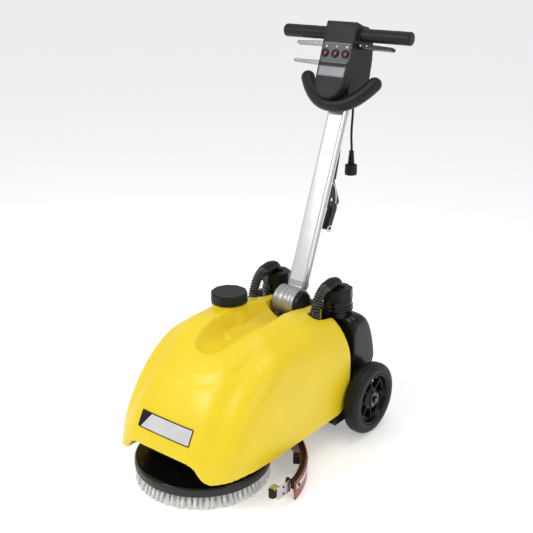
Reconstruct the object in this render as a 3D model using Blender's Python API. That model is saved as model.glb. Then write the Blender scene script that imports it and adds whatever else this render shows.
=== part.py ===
"""Walk-behind floor scrubber with a folding handle: one round scrubbing brush under a
moulded solution tank, a recovery tank between two transport wheels, a curved squeegee
behind the brush, and a handle head with two dead-man triggers.

Units are metres, +Z is up, the front of the machine faces -Y and X = 0 is its middle.
Shapes are written with the brush's axis at Y = 0; YC moves the finished pieces so that
the origin is on the floor under the middle of the whole machine.
"""
import math

import bmesh
import bpy
from mathutils import Matrix, Vector

# ---------------------------------------------------------------- driving dimensions
YC = 0.2432                  # brush axis is this far ahead of the origin
GAP = 0.0003                 # clearance between pieces that touch

WHEEL_R, WHEEL_Y, WHEEL_W, WHEEL_X = 0.100, 0.4347, 0.045, 0.218
BRUSH_R, BRUSH_Z0, BRUSH_Z1 = 0.173, 0.034, 0.058
FOLD_Y, FOLD_Z = 0.370, 0.350            # axis of the folding joint
LEAN = math.radians(21.3)                # handle leans back this far at rest
POLE_Y, POLE_Z = 0.406, 0.404            # a point on the pole's axis
SQ_R, SQ_PIVOT = 0.2645, (0.300, 0.078)  # squeegee's arc and its lifting axis
TANK_W, TANK_TOP, NOSE_Y, REAR_Y = 0.195, 0.382, 0.120, 0.392
NECK_X, NECK_Y = 0.105, 0.440            # the recovery tank's two ports
CAP_X, CAP_Y = -0.080, 0.203             # filler cap
HOSE_Y = 0.331                           # hoses drop behind the solution tank here
CORD_X, CORD_Y = 0.014, 0.625            # the lead hangs from here
GRIP_S, GRIP_N = 0.666, 0.048            # handlebar's axis in the handle's frame

for ob in list(bpy.data.objects):
    bpy.data.objects.remove(ob, do_unlink=True)


# ---------------------------------------------------------------- materials
def material(name, colour, rough, metal=0.0):
    m = bpy.data.materials.new(name)
    m.use_nodes = True
    p = m.node_tree.nodes["Principled BSDF"]
    p.inputs["Base Color"].default_value = (*colour, 1.0)
    p.inputs["Roughness"].default_value = rough
    p.inputs["Metallic"].default_value = metal
    m.diffuse_color = (*colour, 1.0)
    return m


YELLOW = material("yellow_polyethylene", (0.86, 0.66, 0.03), 0.42)
BLACK_PE = material("black_polyethylene", (0.018, 0.019, 0.020), 0.36)
BLACK_ABS = material("black_abs", (0.030, 0.031, 0.034), 0.45)
FACE_GREY = material("dark_grey_face", (0.055, 0.058, 0.064), 0.50)
FOAM = material("black_foam", (0.022, 0.022, 0.023), 0.75)
RUBBER = material("black_rubber", (0.020, 0.020, 0.020), 0.70)
TYRE = material("tyre_rubber", (0.028, 0.028, 0.029), 0.72)
NYLON = material("white_nylon", (0.80, 0.79, 0.74), 0.55)
POLYURETHANE = material("red_polyurethane", (0.42, 0.075, 0.030), 0.42)
ALUMINIUM = material("satin_aluminium", (0.78, 0.79, 0.80), 0.32, 1.0)
CAST = material("cast_aluminium", (0.60, 0.61, 0.62), 0.42, 1.0)
CHROME = material("chrome", (0.80, 0.81, 0.83), 0.12, 1.0)
STEEL = material("zinc_steel", (0.62, 0.63, 0.65), 0.35, 1.0)
BLACK_STEEL = material("black_painted_steel", (0.020, 0.020, 0.021), 0.40)
RED_LENS = material("red_lens", (0.45, 0.010, 0.020), 0.18)
SILVER = material("silver_plate", (0.62, 0.63, 0.65), 0.30, 0.8)
COPPER = material("motor_enamel", (0.10, 0.11, 0.13), 0.40, 0.3)


# ---------------------------------------------------------------- mesh helpers
def place(bm, name, mat, origin=(0.0, 0.0, 0.0), sharp=32.0, frame=None):
    """Make an object of bm, whose points are in the machine's frame, or in `frame`."""
    if frame is not None:
        bm.transform(frame)
    o = Vector(origin)
    bmesh.ops.translate(bm, verts=bm.verts, vec=-o)
    me = bpy.data.meshes.new(name)
    bm.to_mesh(me)
    bm.free()
    me.shade_smooth()
    me.set_sharp_from_angle(angle=math.radians(sharp))
    ob = bpy.data.objects.new(name, me)
    ob.location = (o.x, o.y - YC, o.z)
    if mat is not None:
        me.materials.append(mat)
    bpy.context.scene.collection.objects.link(ob)
    return ob


def boolean(ob, cutter, op="DIFFERENCE"):
    """Apply an exact boolean and remove the cutter."""
    mod = ob.modifiers.new("cut", "BOOLEAN")
    mod.object, mod.operation, mod.solver = cutter, op, "EXACT"
    bpy.context.view_layer.update()
    dg = bpy.context.evaluated_depsgraph_get()
    me = bpy.data.meshes.new_from_object(ob.evaluated_get(dg))
    old = ob.data
    ob.modifiers.clear()
    ob.data = me
    me.name = ob.name
    bpy.data.meshes.remove(old)
    tool = cutter.data
    bpy.data.objects.remove(cutter, do_unlink=True)
    bpy.data.meshes.remove(tool)
    return ob


def outward(bm):
    bmesh.ops.recalc_face_normals(bm, faces=bm.faces)
    return bm


def prism(points, lo, hi, axis="Z", bm=None):
    """Closed outline pushed from lo to hi. For X the outline is (y, z); for Y (x, z); for Z (x, y)."""
    bm = bm or bmesh.new()

    def p(a, b, c):
        return {"X": (c, a, b), "Y": (a, c, b), "Z": (a, b, c)}[axis]
    low = [bm.verts.new(p(a, b, lo)) for a, b in points]
    top = [bm.verts.new(p(a, b, hi)) for a, b in points]
    faces = [bm.faces.new(low), bm.faces.new(top[::-1])]
    n = len(points)
    for i in range(n):
        faces.append(bm.faces.new((low[i], top[i], top[(i + 1) % n], low[(i + 1) % n])))
    bmesh.ops.recalc_face_normals(bm, faces=faces)
    return bm


def box(x0, x1, y0, y1, z0, z1, bm=None):
    return prism([(x0, y0), (x1, y0), (x1, y1), (x0, y1)], z0, z1, "Z", bm)


def soften(bm, width, segments=2, angle=40.0):
    """Bevel the edges that are sharper than `angle`."""
    sharp = [e for e in bm.edges if len(e.link_faces) == 2
             and e.calc_face_angle(0.0) > math.radians(angle)]
    bmesh.ops.bevel(bm, geom=sharp, offset=width, segments=segments, profile=0.5,
                    affect="EDGES", clamp_overlap=True)
    return bm


def ring(profile, segments, centre=(0, 0, 0), axis="Z", bm=None, closed=True):
    """Turn (radius, height) points about an axis. A point at radius 0 closes the shape."""
    bm = bm or bmesh.new()
    cx, cy, cz = centre

    def p(r, h, t):
        c, s = r * math.cos(t), r * math.sin(t)
        return {"Z": (cx + c, cy + s, cz + h), "X": (cx + h, cy + c, cz + s),
                "Y": (cx + s, cy + h, cz + c)}[axis]
    rows = []
    for r, h in profile:
        if r < 1e-6:
            rows.append([bm.verts.new(p(0, h, 0))])
        else:
            rows.append([bm.verts.new(p(r, h, 2 * math.pi * i / segments)) for i in range(segments)])
    faces = []
    m = len(rows)
    for j in range(m if closed else m - 1):
        a, b = rows[j], rows[(j + 1) % m]
        if len(a) == 1 and len(b) == 1:
            continue
        for i in range(segments):
            k = (i + 1) % segments
            if len(a) == 1:
                faces.append(bm.faces.new((a[0], b[i], b[k])))
            elif len(b) == 1:
                faces.append(bm.faces.new((a[i], b[0], a[k])))
            else:
                faces.append(bm.faces.new((a[i], b[i], b[k], a[k])))
    bmesh.ops.recalc_face_normals(bm, faces=faces)
    return bm


def rod(r, h0, h1, centre, axis="Z", segments=24, edge=0.0, bm=None):
    if edge:
        prof = [(0, h0), (r - edge, h0), (r, h0 + edge), (r, h1 - edge), (r - edge, h1), (0, h1)]
    else:
        prof = [(0, h0), (r, h0), (r, h1), (0, h1)]
    return ring(prof, segments, centre, axis, bm, closed=False)


def tube_ring(r0, r1, h0, h1, centre, axis="Z", segments=24, bm=None):
    return ring([(r0, h0), (r1, h0), (r1, h1), (r0, h1)], segments, centre, axis, bm)


def sweep(points, radii, segments=14, bm=None, dome=0):
    """Round bar along points; radii is a number or one per point. dome rounds its ends."""
    bm = bm or bmesh.new()
    pts = [Vector(p) for p in points]
    rad = list(radii) if isinstance(radii, (list, tuple)) else [radii] * len(pts)
    if dome:
        t0, t1 = (pts[0] - pts[1]).normalized(), (pts[-1] - pts[-2]).normalized()
        p0, p1, r0, r1 = pts[0].copy(), pts[-1].copy(), rad[0], rad[-1]
        for k in range(1, dome + 1):
            a = math.pi / 2 * k / (dome + 0.6)
            pts.insert(0, p0 + t0 * r0 * math.sin(a))
            rad.insert(0, r0 * math.cos(a))
            pts.append(p1 + t1 * r1 * math.sin(a))
            rad.append(r1 * math.cos(a))
    tang = []
    for i in range(len(pts)):
        a, b = pts[max(0, i - 1)], pts[min(len(pts) - 1, i + 1)]
        tang.append((b - a).normalized())
    side = tang[0].orthogonal().normalized()
    rows = []
    for i, p in enumerate(pts):
        if i:
            side = tang[i - 1].rotation_difference(tang[i]) @ side
        side = (side - tang[i] * side.dot(tang[i])).normalized()
        up = tang[i].cross(side)
        rows.append([bm.verts.new(p + (side * math.cos(2 * math.pi * k / segments)
                                       + up * math.sin(2 * math.pi * k / segments)) * rad[i])
                     for k in range(segments)])
    faces = [bm.faces.new(rows[0][::-1]), bm.faces.new(rows[-1])]
    for a, b in zip(rows, rows[1:]):
        for k in range(segments):
            faces.append(bm.faces.new((a[k], a[(k + 1) % segments], b[(k + 1) % segments], b[k])))
    bmesh.ops.recalc_face_normals(bm, faces=faces)
    return bm


def smooth_path(points, step):
    """Points every `step` along a Catmull-Rom curve through the route's own points."""
    p = [Vector(q) for q in points]
    p = [p[0] * 2 - p[1]] + p + [p[-1] * 2 - p[-2]]
    out = []
    for i in range(1, len(p) - 2):
        n = max(1, round((p[i + 1] - p[i]).length / step))
        for k in range(n):
            t = k / n
            out.append(0.5 * (2 * p[i] + (p[i + 1] - p[i - 1]) * t
                              + (2 * p[i - 1] - 5 * p[i] + 4 * p[i + 1] - p[i + 2]) * t * t
                              + (3 * p[i] - p[i - 1] - 3 * p[i + 1] + p[i + 2]) * t ** 3))
    out.append(p[-2])
    return out


def sstep(t):
    t = min(1.0, max(0.0, t))
    return t * t * (3 - 2 * t)


def smin(a, b, k):
    """Smooth minimum of a and b with a blend of size k."""
    h = max(k - abs(a - b), 0.0) / k
    return min(a, b) - h * h * k / 4


# ---------------------------------------------------------------- solution tank surface
def tank_edge(u, rear):
    """Height of the solution tank's lower edge. u is the plan angle at the nose (0 at the
    side, 1 at the very front); rear is the distance behind the nose's centre."""
    if rear > 0:
        y = NOSE_Y + rear
        return 0.078 + 0.050 * sstep((y - 0.335) / 0.075)
    arch = sstep((u - 0.60) / 0.26)
    return 0.078 + 0.046 * arch


def tank_point(u, rear, v, corner=0.024):
    """A point on the solution tank's outer skin, +X half. v runs from the edge (0) to the
    crown (1); corner is the plan radius of the rear corners."""
    base = tank_edge(u, rear)
    z1, top = 0.195, TANK_TOP
    if v < 0.34:
        t = v / 0.34
        z = base + (z1 - base) * t
        w = TANK_W - 0.006 * ((z1 - z) / 0.12) ** 2
    else:
        a = (v - 0.34) / 0.66 * math.pi / 2
        e = 2 / 3.1
        w = TANK_W * max(0.0, math.cos(a)) ** e
        z = z1 + (top - z1) * math.sin(a) ** e
    zz = min(1.0, max(0.0, (z - 0.070) / (top - 0.070)))
    reach = 0.285 * max(0.0, 1 - zz ** 1.62) ** (1 / 1.62)
    n = 4.4 - 1.9 * sstep((z - 0.10) / 0.27)
    if rear > 0:
        # the rear corners are rounded in plan
        x, y = w, NOSE_Y + rear
        if corner:
            t = min(1.0, max(0.0, (y - (REAR_Y - corner)) / corner))
            x -= corner * (1 - math.sqrt(1 - t * t)) * sstep((w - 0.07) / 0.09)
    else:
        a = u * math.pi / 2
        x = w * max(0.0, math.cos(a)) ** (2 / n)
        y = NOSE_Y - reach * math.sin(a) ** (2 / n)
    # the crown falls towards the rear
    z -= 0.034 * sstep((y - 0.20) / 0.20) * sstep((z - 0.18) / 0.15)
    # trough that the folded pole lies in, with a round front end
    if z > 0.26:
        g = 0.050 + 0.016 * sstep((y - 0.03) / 0.25)
        d = math.hypot(x, max(0.0, 0.072 - y))
        floor = 0.321 + 0.090 * (d / g) ** 3
        z = smin(z, floor, 0.014)
    return Vector((x, y, z))


def tank_skin(inset=0.0, nose=11, side=9, rows=17, corner=0.024):
    """Closed mesh of the solution tank's outer shape, moved inward by inset."""
    rear_len = REAR_Y - NOSE_Y
    cols = [(0.0, rear_len - corner * (1 - math.sin(math.radians(90 - 30 * i)))) for i in range(3 if corner else 0)]
    cols += [(0.0, (rear_len - corner) * (1 - i / side)) for i in range(side)]
    cols += [(i / nose, 0.0) for i in range(nose + 1)]
    bm = bmesh.new()
    grid = []
    for u, rear in cols:
        grid.append([bm.verts.new(tank_point(u, rear, j / rows, corner)) for j in range(rows + 1)])
    # the left half is the mirror image of every column but the front one
    left = []
    for c in reversed(grid[:-1]):
        left.append([bm.verts.new((-v.co.x, v.co.y, v.co.z)) for v in c])
    full = grid + left
    for a, b in zip(full, full[1:]):
        for j in range(rows):
            bm.faces.new((a[j], b[j], b[j + 1], a[j + 1]))
    # rear wall and underside
    m = len(full)
    wall = bm.faces.new(full[0] + full[-1][::-1][1:])
    bmesh.ops.triangulate(bm, faces=[wall])
    for k in range(m // 2):
        a, b, c, d = full[k][0], full[k + 1][0], full[m - 2 - k][0], full[m - 1 - k][0]
        if b is c:
            bm.faces.new((a, b, d))
        else:
            bm.faces.new((a, b, c, d))
    bmesh.ops.remove_doubles(bm, verts=bm.verts, dist=0.00005)
    bmesh.ops.dissolve_degenerate(bm, dist=0.0004, edges=bm.edges)
    bmesh.ops.triangulate(bm, faces=bm.faces)
    bmesh.ops.recalc_face_normals(bm, faces=bm.faces)
    if inset:
        bm.normal_update()
        move = [(v, v.co - v.normal * inset) for v in bm.verts]
        for v, co in move:
            v.co = co
    return bm


def rounded(x0, x1, y0, y1, r, n=3):
    """Rounded rectangle outline."""
    out = []
    for cx, cy, a0 in ((x1 - r, y1 - r, 0), (x0 + r, y1 - r, 90), (x0 + r, y0 + r, 180), (x1 - r, y0 + r, 270)):
        for k in range(n + 1):
            a = math.radians(a0 + 90 * k / n)
            out.append((cx + r * math.cos(a), cy + r * math.sin(a)))
    return out


# ---------------------------------------------------------------- chassis
plate = place(prism(rounded(-0.134, 0.134, -0.103, 0.3150, 0.066), 0.098, 0.104), "chassis_plate", BLACK_STEEL)
boolean(plate, place(box(-0.120, 0.120, 0.20, 0.3155, 0.098, 0.104), "c", None), "UNION")
boolean(plate, place(rod(0.030, 0.09, 0.11, (0, 0, 0), "Z", 24), "c", None))
boolean(plate, place(rod(0.0190, 0.09, 0.11, (-0.105, 0.236, 0), "Z", 20), "c", None))

tray = place(prism([(0.316, 0.058), (0.326, 0.048), (0.490, 0.048), (0.500, 0.058), (0.500, 0.115), (0.316, 0.115)], -0.184, 0.184, "X"),
             "rear_frame", BLACK_STEEL)
boolean(tray, place(prism([(0.320, 0.0595), (0.3275, 0.052), (0.4885, 0.052), (0.496, 0.0595), (0.496, 0.13), (0.320, 0.13)], -0.180, 0.180, "X"),
                    "c", None))
boolean(tray, place(rod(0.0063, -0.20, 0.20, (0, WHEEL_Y, 0.1), "X", 16), "c", None))
for x in (-0.0180, 0.0180):
    boolean(tray, place(box(x - 0.0025, x + 0.0025, 0.291, 0.318, 0.066, 0.090), "c", None), "UNION")
boolean(tray, place(rod(0.0040, -0.026, 0.026, (0, SQ_PIVOT[0], SQ_PIVOT[1]), "X", 12, 0.0008), "c", None), "UNION")

axle = place(rod(0.0060, -0.2440, 0.2440, (0, WHEEL_Y, 0.1), "X", 16), "axle", STEEL)
for s in (1, -1):
    nut = rod(0.0095, min(s * 0.2389, s * 0.2455), max(s * 0.2389, s * 0.2455), (0, WHEEL_Y, WHEEL_R), "X", 6, 0.001)
    boolean(axle, place(nut, "c", None), "UNION")

# ---------------------------------------------------------------- drive and vacuum motors
place(ring([(0, 0.1043), (0.086, 0.1043), (0.086, 0.136), (0.078, 0.147), (0, 0.147)], 28, (0, 0, 0), "Z", None, False),
      "brush_gearbox", CAST)
place(ring([(0, 0.1473), (0.062, 0.1473), (0.062, 0.212), (0.046, 0.238), (0, 0.238)], 28, (0, 0, 0), "Z", None, False),
      "brush_motor", COPPER)
vac = place(ring([(0, 0.1043), (0.060, 0.1043), (0.060, 0.185), (0.045, 0.205), (0, 0.205)], 28, (0.060, 0.200, 0), "Z", None, False),
            "vacuum_motor", BLACK_ABS)
boolean(vac, place(rod(0.0165, 0.235, 0.2877, (0.105, 0, 0.128), "Y", 20), "c", None), "UNION")
place(soften(box(-0.095, -0.045, 0.120, 0.170, 0.1043, 0.150), 0.004, 1), "water_valve", BLACK_ABS)

# ---------------------------------------------------------------- solution tank
def recess(grow):
    """Bay under the solution tank that holds the motors; its roof slopes down to the nose."""
    g = grow
    bay = place(prism(rounded(-0.140 - g, 0.140 + g, -0.108 - g, 0.290 + g, 0.07), 0.02, 0.30), "bay", None)
    roof = prism([(-0.12 - g, 0.0), (-0.12 - g, 0.146 + g), (-0.066, 0.224 + g), (-0.046, 0.2555 + g), (0.31, 0.2555 + g), (0.31, 0.0)],
                 -0.2, 0.2, "X")
    return boolean(bay, place(roof, "c", None), "INTERSECT")


def arch(grow):
    """Opening under the nose, between the two feet."""
    g = grow
    half = []
    for k in range(7):
        u = 0.60 + 0.26 * k / 6
        z = tank_edge(u, 0) + 0.0004 + g
        half.append((0.189 * math.cos(u * math.pi / 2) ** (2 / 4.4) + g, z))
    pts = [(x, z) for x, z in half] + [(-x, z) for x, z in reversed(half)]
    return place(prism([(half[0][0], 0.0)] + pts + [(-half[0][0], 0.0)], -0.25, -0.09, "Y"), "c", None)


def hose_slot(side, grow):
    x, r = side * NECK_X, 0.0175 + grow
    out = [(x - r, 0.45)]
    for k in range(9):
        a = math.pi * k / 8
        out.append((x - r * math.cos(a), HOSE_Y - r * math.sin(a)))
    out.append((x + r, 0.45))
    return prism(out, 0.02, 0.45)


def hinge_pocket(grow):
    return prism([(-0.046 - grow, 0.45), (-0.0457 - grow, 0.3127 - grow), (0.0457 + grow, 0.3127 - grow), (0.046 + grow, 0.45)], 0.02, 0.45)


shell = place(tank_skin(), "solution_tank", YELLOW, sharp=42)
water = place(tank_skin(0.0065, 9, 7, 12, 0.0), "water", None)
for s in (1, -1):
    boolean(water, place(box(min(s * 0.172, s * 0.25), max(s * 0.172, s * 0.25), 0.370, 0.45, 0.0, 0.45), "c", None))
boolean(water, place(box(-0.074, 0.074, 0.004, 0.45, 0.304, 0.45), "c", None))
for part, grow in ((shell, 0.0), (water, 0.0048)):
    boolean(part, recess(grow))
    boolean(part, arch(grow))
    boolean(part, place(hose_slot(1, grow), "c", None))
    boolean(part, place(hose_slot(-1, grow), "c", None))
    boolean(part, place(hinge_pocket(grow), "c", None))
    # room for the chassis plate and the rear frame
    boolean(part, place(box(-0.1365 - grow, 0.1365 + grow, 0.21, 0.45, 0.01, 0.110 + grow), "c", None))
boolean(shell, place(box(-0.1845, 0.1845, 0.3156, 0.46, 0.0, 0.1153), "c", None))
boolean(water, place(box(-0.25, 0.25, 0.3108, 0.47, 0.0, 0.1201), "c", None))
# passages from the hose slots into the motor bay, below the water space
for s in (1, -1):
    x = s * NECK_X
    boolean(water, place(box(x - 0.0230, x + 0.0230, 0.236, 0.345, 0.02, 0.1715), "c", None))
boolean(shell, place(rod(0.0435, 0.330, 0.384, (CAP_X, CAP_Y, 0), "Z", 32), "c", None), "UNION")
boolean(shell, water)
for s in (1, -1):
    x = s * NECK_X
    boolean(shell, place(box(x - 0.0175, x + 0.0175, 0.241, 0.340, 0.015, 0.1655), "c", None))
boolean(shell, place(rod(0.0380, 0.296, 0.40, (CAP_X, CAP_Y, 0), "Z", 32), "c", None))

place(ring([(0, 0.4125), (0.044, 0.4125), (0.0485, 0.4080), (0.0495, 0.3880), (0.0485, 0.3845), (0.0374, 0.3845), (0.0374, 0.3520),
            (0.0325, 0.3520), (0.0325, 0.4080), (0, 0.4080)], 20, (CAP_X, CAP_Y, 0), "Z", None, False),
      "filler_cap", BLACK_ABS, (CAP_X, CAP_Y, 0.3845))
front_plate = place(box(-0.084, 0.084, -0.22, -0.06, 0.158, 0.207), "front_plate", SILVER)
boolean(front_plate, place(tank_skin(-0.0016), "c", None), "INTERSECT")
boolean(front_plate, place(tank_skin(-0.0004), "c", None))

# ---------------------------------------------------------------- recovery tank
def recovery_skin(inset=0.0, n=9):
    """Cross-sections along X of the recovery tank, full in the middle and rounded at the ends."""
    prof = [(0.412, 0.118), (0.412, 0.200), (0.412, 0.300), (0.417, 0.322), (0.430, 0.331), (0.455, 0.331), (0.478, 0.322),
            (0.497, 0.300), (0.514, 0.258), (0.527, 0.212), (0.532, 0.185), (0.527, 0.170), (0.512, 0.160), (0.506, 0.140),
            (0.500, 0.124), (0.490, 0.118)]
    bm = bmesh.new()
    cy, cz = 0.462, 0.215
    xs = [-0.180, -0.177, -0.168, -0.150, -0.110, -0.040, 0.040, 0.110, 0.150, 0.168, 0.177, 0.180]
    scale = [0.80, 0.885, 0.95, 0.985, 1, 1, 1, 1, 0.985, 0.95, 0.885, 0.80]
    rows = []
    for x, s in zip(xs, scale):
        rows.append([bm.verts.new((x, cy + (y - cy) * (s if y > cy else 1 - (1 - s) * 0.35), cz + (z - cz) * (s if z > cz else 1)))
                     for y, z in prof])
    m = len(prof)
    for a, b in zip(rows, rows[1:]):
        for j in range(m):
            bm.faces.new((a[j], a[(j + 1) % m], b[(j + 1) % m], b[j]))
    bm.faces.new(rows[0][::-1])
    bm.faces.new(rows[-1])
    bmesh.ops.recalc_face_normals(bm, faces=bm.faces)
    if inset:
        bm.normal_update()
        for v, co in [(v, v.co - v.normal * inset) for v in bm.verts]:
            v.co = co
    return bm


rec = place(recovery_skin(), "recovery_tank", BLACK_PE, sharp=50)
for s in (1, -1):
    boolean(rec, place(ring([(0, 0.300), (0.0412, 0.300), (0.0412, 0.3645), (0, 0.3645)], 28,
                            (s * NECK_X, NECK_Y, 0), "Z", None, False), "c", None), "UNION")
boolean(rec, place(recovery_skin(0.0045), "c", None))
for s in (1, -1):
    boolean(rec, place(rod(0.0310, 0.310, 0.38, (s * NECK_X, NECK_Y, 0), "Z", 24), "c", None))

for s, side in ((-1, "left"), (1, "right")):
    c = (s * NECK_X, NECK_Y, 0)
    o = (s * NECK_X, NECK_Y, 0.3648)
    ringcap = place(rod(0.0410, 0.3648, 0.3962, c, "Z", 8, 0.003), "recovery_cap_" + side, BLACK_ABS, o)
    boolean(ringcap, place(rod(0.0180, 0.35, 0.41, c, "Z", 24), "c", None))
    # elbow that stands in the cap and turns forward, its flange inside the neck
    x = s * NECK_X
    path = [(x, 0.440, 0.3500), (x, 0.440, 0.3880), (x, 0.4375, 0.4010), (x, 0.430, 0.4110), (x, 0.4180, 0.4150), (x, 0.4000, 0.4150),
            (x, 0.3790, 0.4110)]
    place(sweep(path, 0.0152, 16), "elbow_" + side, BLACK_ABS)
    t = (Vector(path[-1]) - Vector(path[-2])).normalized()
    route = [Vector(path[-1]) + t * 0.0005, Vector(path[-1]) + t * 0.0110, (x, 0.3500, 0.3930), (x, 0.3380, 0.3680), (x, HOSE_Y, 0.338),
             (x, HOSE_Y, 0.290), (x, HOSE_Y, 0.220), (x, HOSE_Y, 0.165), (x, 0.3260, 0.1470), (x, 0.3140, 0.1340)]
    if s < 0:
        route += [(x, 0.2860, 0.1300), (x, 0.2600, 0.1310), (x, 0.2430, 0.1300), (x, 0.2365, 0.1240), (x, 0.2360, 0.1190), (x, 0.2360, 0.1142)]
    else:
        route += [(x, 0.3020, 0.1290), (x, 0.2940, 0.1280), (x, 0.2885, 0.1280)]
    place(sweep(smooth_path(route, 0.018), 0.0140, 12), "hose_" + side, BLACK_PE)

place(tube_ring(0.0143, 0.0184, 0.0775, 0.1130, (-0.105, 0.236, 0), "Z", 20), "suction_sleeve", RUBBER)

# ---------------------------------------------------------------- brush
place(ring([(0.052, 0.034), (0.1700, 0.034), (0.173, 0.037), (0.173, 0.0525), (0.1705, 0.0565), (0.166, 0.058), (0.150, 0.0565),
            (0.105, 0.0560), (0.088, 0.058), (0.052, 0.058)], 48), "brush_block", BLACK_ABS, (0, 0, 0.034))
place(ring([(0.070, 0.0), (0.1765, 0.0), (0.1690, 0.0337), (0.074, 0.0337)], 48), "brush_bristles", NYLON, (0, 0, 0))
place(ring([(0, 0.0400), (0.0515, 0.0400), (0.0515, 0.0583), (0.080, 0.0583), (0.080, 0.0670), (0.030, 0.0720), (0.0145, 0.0760),
            (0.0145, 0.1040), (0, 0.1040)], 24, (0, 0, 0), "Z", None, False), "drive_hub", BLACK_ABS, (0, 0, 0.04))

# ---------------------------------------------------------------- wheels
for s, side in ((-1, "left"), (1, "right")):
    c, o = (s * WHEEL_X, WHEEL_Y, WHEEL_R), (s * WHEEL_X, WHEEL_Y, WHEEL_R)
    h = WHEEL_W / 2
    place(ring([(0.0713, -h + 0.004), (0.0760, -h), (0.0880, -h), (0.0965, -h + 0.0055), (0.1000, -h + 0.0145), (0.1000, h - 0.0145),
                (0.0965, h - 0.0055), (0.0880, h), (0.0760, h), (0.0713, h - 0.004)], 36, c, "X"), "tyre_" + side, TYRE, o)
    rim_prof = [(0.0062, -0.0335), (0.0180, -0.0335), (0.0210, -0.0040), (0.0600, -0.0040), (0.0620, -h + 0.004),
                (0.0710, -h + 0.004), (0.0710, h - 0.004), (0.0620, h - 0.004), (0.0600, 0.0060), (0.0230, 0.0060),
                (0.0200, h - 0.0025), (0.0062, h - 0.0025)]
    rim = place(ring([(r, s * x) for r, x in rim_prof], 24, c, "X"), "rim_" + side, BLACK_ABS, o)
    for k in range(8):
        a = math.radians(22.5 + 45 * k)
        win = []
        for da, r in ((-13, 0.030), (13, 0.030), (15.5, 0.055), (-15.5, 0.055)):
            t = a + math.radians(da)
            win.append((c[1] + r * math.cos(t), c[2] + r * math.sin(t)))
        boolean(rim, place(prism(win, c[0] - 0.012, c[0] + 0.012, "X"), "c", None))

# ---------------------------------------------------------------- squeegee
def arc(r0, r1, z0, z1, a0, a1, bm=None):
    """Curved bar about the brush's axis, in steps of 6 degrees so that neighbours nest."""
    bm = bm or bmesh.new()
    n = round((a1 - a0) / 6)
    rows = []
    for k in range(n + 1):
        t = math.radians(a0 + (a1 - a0) * k / n)
        c, s = math.cos(t), math.sin(t)
        rows.append([bm.verts.new((r * c, r * s, z)) for r, z in ((r0, z0), (r1, z0), (r1, z1), (r0, z1))])
    faces = [bm.faces.new(rows[0]), bm.faces.new(rows[-1][::-1])]
    for a, b in zip(rows, rows[1:]):
        for j in range(4):
            faces.append(bm.faces.new((a[j], b[j], b[(j + 1) % 4], a[(j + 1) % 4])))
    bmesh.ops.recalc_face_normals(bm, faces=faces)
    return bm


SQO = (0, SQ_PIVOT[0], SQ_PIVOT[1])
frame = place(arc(0.2515, 0.2610, 0.0280, 0.0550, 9, 171), "squeegee_frame", BLACK_ABS, SQO)
port = ring([(0, 0.0505), (0.0120, 0.0505), (0.0105, 0.0800), (0, 0.0800)], 18, (-0.105, 0.236, 0), "Z", None, False)
boolean(frame, place(port, "c", None), "UNION")
place(arc(0.2613, 0.2653, 0.0, 0.0500, 9, 171), "blade_rear", POLYURETHANE, SQO)
place(arc(0.2472, 0.2512, 0.0015, 0.0460, 15, 165), "blade_front", POLYURETHANE, SQO)
strap = place(arc(0.2656, 0.2670, 0.0290, 0.0440, 9, 171), "blade_strap", STEEL, SQO)
arm = prism([(0.2525, 0.0500), (0.2600, 0.0500), (0.296, 0.0665), (0.3075, 0.072), (0.3085, 0.082), (0.303, 0.0875), (0.293, 0.0865),
             (0.2560, 0.0660), (0.2525, 0.0640)], -0.0150, 0.0150, "X")
boolean(frame, place(arm, "c", None), "UNION")
boolean(frame, place(rod(0.0043, -0.03, 0.03, (0, SQ_PIVOT[0], SQ_PIVOT[1]), "X", 16), "c", None))
# end plates run forward from the body's ends; each carries a guide roller on a pin
ROLL_X, ROLL_Y = 0.2365, -0.0160
for s, side in ((-1, "left"), (1, "right")):
    x0, x1 = sorted((s * 0.2470, s * 0.2486))
    end = place(prism([(0.0386, 0.0220), (0.0386, 0.0535), (-0.0100, 0.0560), (-0.0140, 0.0520), (-0.0140, 0.0260), (-0.0100, 0.0220)], x0, x1, "X"),
                "end_plate_" + side, STEEL, SQO)
    x0, x1 = sorted((s * 0.2290, s * 0.2475))
    boolean(end, place(box(x0, x1, -0.0210, 0.0000, 0.0538, 0.0554), "c", None), "UNION")
    boolean(end, place(rod(0.0030, 0.0270, 0.0545, (s * ROLL_X, ROLL_Y, 0), "Z", 12), "c", None), "UNION")
    roller = place(rod(0.0098, 0.0290, 0.0532, (s * ROLL_X, ROLL_Y, 0), "Z", 16, 0.0015), "squeegee_roller_" + side, BLACK_ABS,
                   (s * ROLL_X, ROLL_Y, 0.029))
    boolean(roller, place(rod(0.0034, 0.02, 0.06, (s * ROLL_X, ROLL_Y, 0), "Z", 12), "c", None))
blade = bpy.data.objects["blade_front"]
for ang in (12, 36, 60, 120, 144, 168):
    turn = Matrix.Rotation(math.radians(ang) - math.pi / 2, 4, "Z")
    if ang in (36, 144):
        knob = soften(box(-0.0120, 0.0120, 0.2290, 0.2465, 0.0300, 0.0620), 0.003, 1)
    else:
        knob = rod(0.0082, 0.2340, 0.2465, (0, 0, 0.0400), "Y", 12, 0.001)
    knob.transform(turn)
    stud = rod(0.0030, 0.2440, 0.2540, (0, 0, 0.0400), "Y", 8)
    stud.transform(turn)
    hole = rod(0.0035, 0.2400, 0.2560, (0, 0, 0.0400), "Y", 8)
    hole.transform(turn)
    boolean(frame, place(stud, "c", None), "UNION")
    boolean(frame, place(knob, "c", None), "UNION")
    boolean(blade, place(hole, "c", None))

# ---------------------------------------------------------------- folding joint
FOLD = (0, FOLD_Y, FOLD_Z)


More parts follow.
